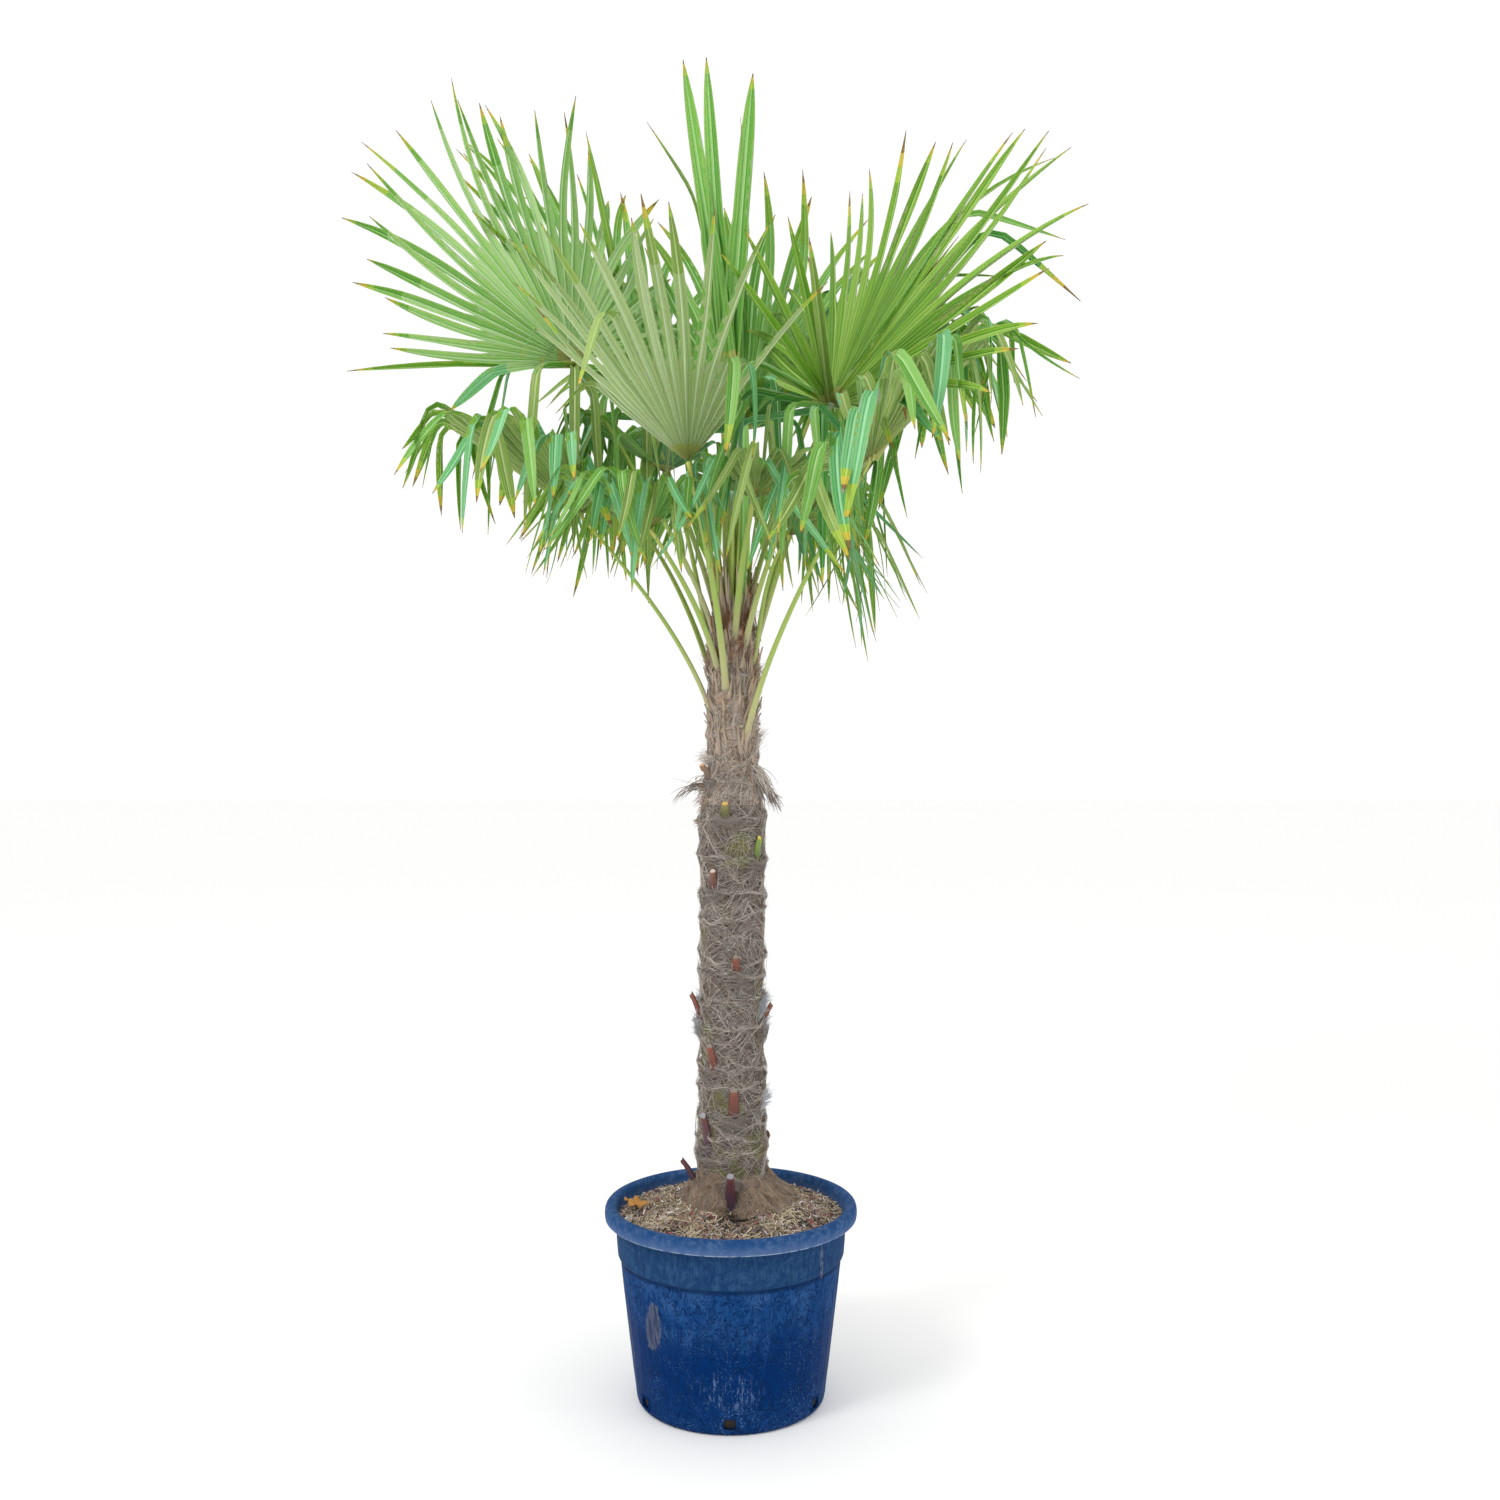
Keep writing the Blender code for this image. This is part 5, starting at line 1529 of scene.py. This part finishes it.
def grow_leaflet(fan, leaf, spine, size, look, rng, change, joined=None):
    """Adds a leaflet's rows of eight points, the faces between them and its two caps."""
    points, faces, uvs, kinds = fan
    length, notch, half, bend, droop = size
    ends = rng.choice(DRY_ENDS)
    own = {"twist": rng.gauss(0, 0.30 if droop < 0.35 else 0.45), "sway": rng.gauss(0, 0.10),
           "rise": rng.gauss(0, 0.12)}
    twist, sway, rise = (change.get(key, own[key]) for key in ("twist", "sway", "rise"))
    shares = leaflet_rows(length, notch, bend, droop, ends)
    first = len(points)
    sign = 1 if spine[0][1].cross(spine[0][2]).dot(blade_axes(leaf)[2]) > 0 else -1
    # Painted light and shade: the fold's two halves are often dealt a lighter and a darker shade
    shades = rng.choice(((0, 1), (1, 0), (0, 0), (0, 2), (2, 0), (1, 1), (2, 1)))
    hanging = droop > 0.5 and bend < 0.88
    withered, turns = rng.random() < 0.4, rng.uniform(0.74, 0.92)
    top = rng.choice((look[3], look[3], "fresh", look[3], "olive"))
    for share in shares:
        centre, level, heading = along(spine, share)
        r = share * length
        free = max(0.0, (r - notch) / (length - notch))
        level = Matrix.Rotation(twist * ease(free * 1.5), 3, heading) @ level
        normal = level.cross(heading) * sign
        centre = centre + (level * sway + normal * rise) * (free * free * (length - notch))
        open_again = ease((share - bend) / 0.10) if hanging else 0.0
        wide = half * (1 - (1 - TIGHT) * ease(free / 0.10) * (1 - open_again))
        wide *= max(0.07, (1 - free ** 4.0) ** 0.9)
        fold = (HUB_FOLD - FLATTENING * ease((share - 0.2) / 0.6)) * (1 - 0.55 * open_again)
        left, right = centre - level * wide, centre + level * wide
        if joined:
            hub, edges, notches = joined
            left = (hub + edges[0] * r).lerp(left, ease((r - notches[0]) / 0.04))
            right = (hub + edges[1] * r).lerp(right, ease((r - notches[1]) / 0.04))
        middle = (left + right) / 2 if joined and r < notch else centre
        middle = middle - normal * ((left - right).length / 2 * math.tan(fold))
        thick = THICK * (1 - 0.5 * free)
        inner, other = middle.lerp(left, 0.16), middle.lerp(right, 0.16)
        up = normal * thick
        points += [left, inner + up, middle + up, other + up, right, other - up, middle - up * 2.2,
                   inner - up]
    for row in range(len(shares) - 1):
        a, b = first + 8 * row, first + 8 * row + 8
        share = (shares[row] + shares[row + 1]) / 2
        if share * length < HUB_ZONE:
            above = below = "hub"
        elif share > 1 - ends[2]:
            above = below = "grey" if withered and share > 1 - ends[2] / 2 else "brown"
        elif share > 1 - ends[2] - ends[1]:
            above = below = "yellow"
        elif share > 1 - sum(ends):
            above = below = "lime"
        elif hanging:
            above = top if share > bend - 0.06 else look[0]
            below = look[2] if share > bend else look[1]
        else:
            above, below = (look[2], look[2]) if share > turns else (look[0], look[1])
        u, v = shares[row] * length, shares[row + 1] * length
        for i in range(8):
            j = (i + 1) % 8
            x0, x1 = ACROSS[i], ACROSS[i + 1]
            faces.append((a + i, a + j, b + j, b + i) if sign > 0 else (a + j, a + i, b + i, b + j))
            pair = ((x0, u), (x1, u), (x1, v), (x0, v))
            uvs += pair if sign > 0 else (pair[1], pair[0], pair[3], pair[2])
            # Each half takes its dealt shade, painted light and shade of the fold; the midrib takes its
            # own
            shade = 3 if i in (1, 2, 5, 6) else shades[0 if i in (0, 7) else 1]
            kinds.append(LEAF_SLOTS[above if i < 4 else below] + shade)
    for a, spin in ((first, 1), (len(points) - 8, -1)):
        cap = [a + i for i in range(8)]
        faces.append(tuple(reversed(cap) if spin * sign > 0 else cap))
        uvs += [(0, 0)] * 8
        kinds.append(LEAF_SLOTS["hub" if spin > 0 else "brown"])


def fan_mesh(leaf, seed, look):
    """Points, faces, UVs and materials of a leaf's fan, with its stray leaflets."""
    rows, coarse = drawn_leaflets(leaf, seed)
    count = max(4, round(leaf.span / LEAFLET_STEP))
    rng = random.Random(1000 + seed)
    span = math.radians(leaf.span)
    opened = OPEN.get(leaf.name, 1.0)
    notches = []
    for j in range(count + 1):
        place = j / count * (len(coarse) - 1)
        k = min(int(place), len(coarse) - 2)
        notch = coarse[k] + (coarse[k + 1] - coarse[k]) * (place - k)
        notches.append(notch * rng.uniform(0.94, 1.08) * opened)
    edges = [leaflet_direction(leaf, (j / count - 0.5) * span) for j in range(count + 1)]
    fan = ([], [], [], [])
    for k in range(count):
        length, bend, droop = rows[min(int((k + 0.5) / count * len(rows)), len(rows) - 1)]
        change = SPECIAL.get((leaf.name, k), {})
        length *= REACH.get(leaf.name, 1.0) * (1 - rng.uniform(0.0, 0.05 if droop < 0.5 else 0.20))
        bend += rng.uniform(-0.07, 0.07)
        droop *= rng.uniform(0.80, 1.06)
        fall = compass(rng.uniform(0, 360), rng.uniform(-90, -62))
        if change.get("skip"):
            continue
        length, bend = change.get("length", length), change.get("bend", bend)
        droop = change.get("droop", droop)
        fall = compass(*change["fall"]) if "fall" in change else fall
        angle = ((k + 0.5) / count - 0.5) * span
        joined = (hub_of(leaf), edges[k:k + 2], notches[k:k + 2])
        if "angle" in change:
            angle, joined = math.radians(change["angle"]), None
        spine = leaflet_spine(leaf, leaflet_direction(leaf, angle),
                              leaflet_direction(leaf, angle + 0.05), length, bend, droop, fall)
        notch = min((notches[k] + notches[k + 1]) / 2, length * 0.8)
        half = min(notch * math.sin(span / count / 2) * 1.02 / opened, WIDEST)
        size = (length, notch, half * change.get("wide", 1.0), bend, droop)
        grow_leaflet(fan, leaf, spine, size, look, rng, change, joined)
    for stray in STRAYS.get(leaf.name, ()):
        azimuth, lift, length, bend, droop, fall, half, turn_by, tone = stray
        start = compass(azimuth, lift)
        ahead = start + start.cross(UP).normalized() * 0.05
        spine = leaflet_spine(leaf, start, ahead, length, bend, droop, compass(*fall))
        change = {"sway": 0.0, "rise": 0.0, "twist": math.radians(turn_by)}
        size = (length, STRAY_NOTCH, half, bend, droop)
        grow_leaflet(fan, leaf, spine, size, [tone] * 4, rng, change)
    return fan


# Above, below, towards the end, and above on a hanging end
LOOKS = {
    "front_centre": "fresh pale olive blue", "upper_left": "soft soft fresh blue",
    "upper_right": "bright olive bright blue", "front_right": "olive olive fresh blue",
    "far_right": "deep olive bright blue", "lower_left": "olive olive bright blue",
    "front_low": "olive olive fresh blue", "spear": "fresh fresh fresh fresh",
    "upper_back": "fresh soft bright fresh", "upper_back_left": "fresh soft bright fresh",
    "upper_back_right": "deep fresh bright fresh", "low_right": "deep olive bright blue",
}
# Single leaflets that leave their leaf's fan: compass angle and lift of their start, length,
# where and how much they bend, which way the end falls, half their width, turn and look
STRAYS = {
    "upper_left": [
        (-65, -6, 0.54, 0.90, 0.0, (0, -90), 0.0145, 35, "bright"),
        (-60, -5, 0.48, 0.30, 1.0, (300, -80), 0.0130, 20, "blue"),
        (-30, -12, 0.52, 0.24, 1.0, (320, -84), 0.0130, -20, "fresh"),
        (8, -16, 0.56, 0.20, 1.0, (0, -86), 0.0130, 15, "olive"),
        (-88, -4, 0.44, 0.34, 1.0, (280, -74), 0.0120, 30, "fresh"),
        (70, -35, 0.42, 0.25, 1.0, (90, -84), 0.0130, -20, "fresh"),
        (40, -40, 0.48, 0.20, 1.0, (60, -86), 0.0130, 0, "blue"),
        (85, -20, 0.44, 0.38, 1.0, (90, -80), 0.0120, -30, "olive"),
        (100, -10, 0.52, 0.45, 1.0, (90, -82), 0.0130, -40, "deep"),
        (60, -14, 0.50, 0.50, 1.0, (80, -84), 0.0130, -10, "fresh"),
    ],
    "upper_back_left": [
        (-46, 75, 0.67, 0.95, 0.0, (0, -90), 0.0150, 70, "bright"),
        (-30, 0, 0.62, 0.22, 1.0, (330, -84), 0.0130, 10, "fresh"),
        (10, -6, 0.66, 0.18, 1.0, (10, -86), 0.0130, -15, "olive"),
    ],
    "upper_back": [
        (0, 85, 0.76, 0.74, 0.8, (270, 45), 0.0130, 60, "fresh"),
        (270, 78, 0.82, 0.70, 1.0, (270, 17), 0.0120, 30, "fresh"),
        (30, 0, 0.56, 0.20, 1.0, (40, -84), 0.0140, 10, "deep"),
        (0, -6, 0.60, 0.16, 1.0, (0, -86), 0.0140, -10, "fresh"),
        (60, 4, 0.50, 0.26, 1.0, (70, -80), 0.0140, 15, "deep"),
        (20, 20, 0.52, 0.40, 1.0, (30, -84), 0.0140, -25, "deep"),
        (-88, 4, 0.66, 0.55, 1.0, (270, -80), 0.0150, 60, "deep"),
        (-84, 10, 0.60, 0.50, 1.0, (280, -84), 0.0150, 50, "fresh"),
        (-92, -4, 0.58, 0.48, 1.0, (270, -84), 0.0150, 60, "fresh"),
        (-78, -8, 0.54, 0.36, 1.0, (280, -84), 0.0150, 30, "deep"),
        (-70, 2, 0.56, 0.30, 1.0, (290, -84), 0.0150, 20, "olive"),
    ],
    "upper_right": [
        (70, 54, 0.74, 0.66, 1.0, (90, -14), 0.0140, 60, "fresh"),
        (73, 47, 0.77, 0.64, 1.0, (90, -38), 0.0140, 60, "deep"),
        (66, 50, 0.46, 0.90, 0.0, (0, -90), 0.0140, 30, "lime"),
        (-28, 24, 0.56, 0.90, 0.0, (0, -90), 0.0150, 0, "bright"),
        (-23, 29, 0.56, 0.90, 0.0, (0, -90), 0.0150, 0, "bright"),
        (-13, 32, 0.55, 0.90, 0.0, (0, -90), 0.0145, 0, "bright"),
        (-8, 29, 0.52, 0.90, 0.0, (0, -90), 0.0145, 0, "olive"),
        (-66, 6, 0.46, 0.28, 1.0, (290, -84), 0.0145, 10, "deep"),
        (-42, -4, 0.50, 0.24, 1.0, (310, -86), 0.0145, -10, "fresh"),
        (-10, -8, 0.54, 0.22, 1.0, (0, -86), 0.0145, 10, "deep"),
        (-84, 12, 0.48, 0.36, 1.0, (270, -84), 0.0140, 20, "blue"),
        (-80, 10, 0.50, 0.36, 1.0, (270, -82), 0.0145, 30, "deep"),
        (-70, 25, 0.56, 0.34, 1.0, (280, -80), 0.0140, 20, "fresh"),
        (-88, -10, 0.46, 0.42, 1.0, (270, -80), 0.0140, 40, "blue"),
    ],
    "front_right": [
        (14, 60, 0.42, 0.59, 1.0, (90, -80), 0.0165, 0, "blue"),
        (-12, 48, 0.41, 0.53, 1.0, (90, -68), 0.0165, 0, "soft"),
        (-27, 39, 0.36, 0.56, 1.0, (90, -72), 0.0160, 0, "blue"),
        (-45, 32, 0.38, 0.52, 1.0, (90, -84), 0.0150, 0, "blue"),
        (59, 58, 0.60, 0.62, 1.0, (90, -80), 0.0150, 20, "blue"),
        (69, 56, 0.62, 0.63, 1.0, (90, -84), 0.0150, 20, "fresh"),
    ],
}
total = 0
for seed, leaf in enumerate(LEAVES):
    look = LOOKS.get(leaf.name, "deep fresh bright blue").split()
    points, faces, uvs, kinds = fan_mesh(leaf, seed, look)
    fan = piece("fan_" + leaf.name, points, faces, LEAF_MATERIALS, kinds, uvs)
    fan.data.set_sharp_from_angle(angle=math.radians(30))
    total += len(faces)
    hand_over(fan, "leaf_blade", "blade_" + leaf.name)
print("The fans have", total, "faces")

# %% [markdown]
# One curled orange leaf from some other tree has blown into the pot and lies at its left
# edge. A disc with a lobed rim, curled by a sine and given a thickness, is enough.

# %% The blown-in leaf
orange_leaf = dry_matter("dry orange leaf", "#b5813f", 0.7)
# The blown-in leaf's rings and spokes, its radius, curl and thickness
RINGS, SPOKES = 7, 40
LEAF_RADIUS = 0.036
LEAF_CURL = 0.005
LEAF_THICK = 0.0008
points, faces = [Vector((0, 0, 0.004))], []
for ring in range(1, RINGS + 1):
    for k in range(SPOKES):
        a = 2 * math.pi * k / SPOKES
        lobes = 0.62 + 0.38 * abs(math.cos(2.5 * a)) ** 0.8
        r = LEAF_RADIUS * ring / RINGS * lobes
        x, y = r * math.cos(a) * 1.15, r * math.sin(a)
        z = LEAF_CURL * math.sin(x * 160 + y * 60) + LEAF_CURL * math.cos(y * 190 + 1)
        z += 0.002 * (r / LEAF_RADIUS) ** 2
        points.append(Vector((x, y, z + 0.004)))
for k in range(SPOKES):
    j = (k + 1) % SPOKES
    faces.append((0, 1 + k, 1 + j))
    for ring in range(RINGS - 1):
        a, b = 1 + ring * SPOKES, 1 + (ring + 1) * SPOKES
        faces.append((a + k, b + k, b + j, a + j))
spin = Matrix.Rotation(math.radians(25), 3, "Z") @ Matrix.Rotation(math.radians(14), 3, "Y")
rest = Vector((-0.228, 0.012, SOIL_EDGE + 0.010))
points = [spin @ point + rest for point in points]
blown_leaf = piece("blown_in_leaf", points, faces, [orange_leaf])
blown_leaf.modifiers.new("Leaf thickness", "SOLIDIFY").thickness = LEAF_THICK
as_plain_mesh(blown_leaf)
hand_over(blown_leaf, "mulch")
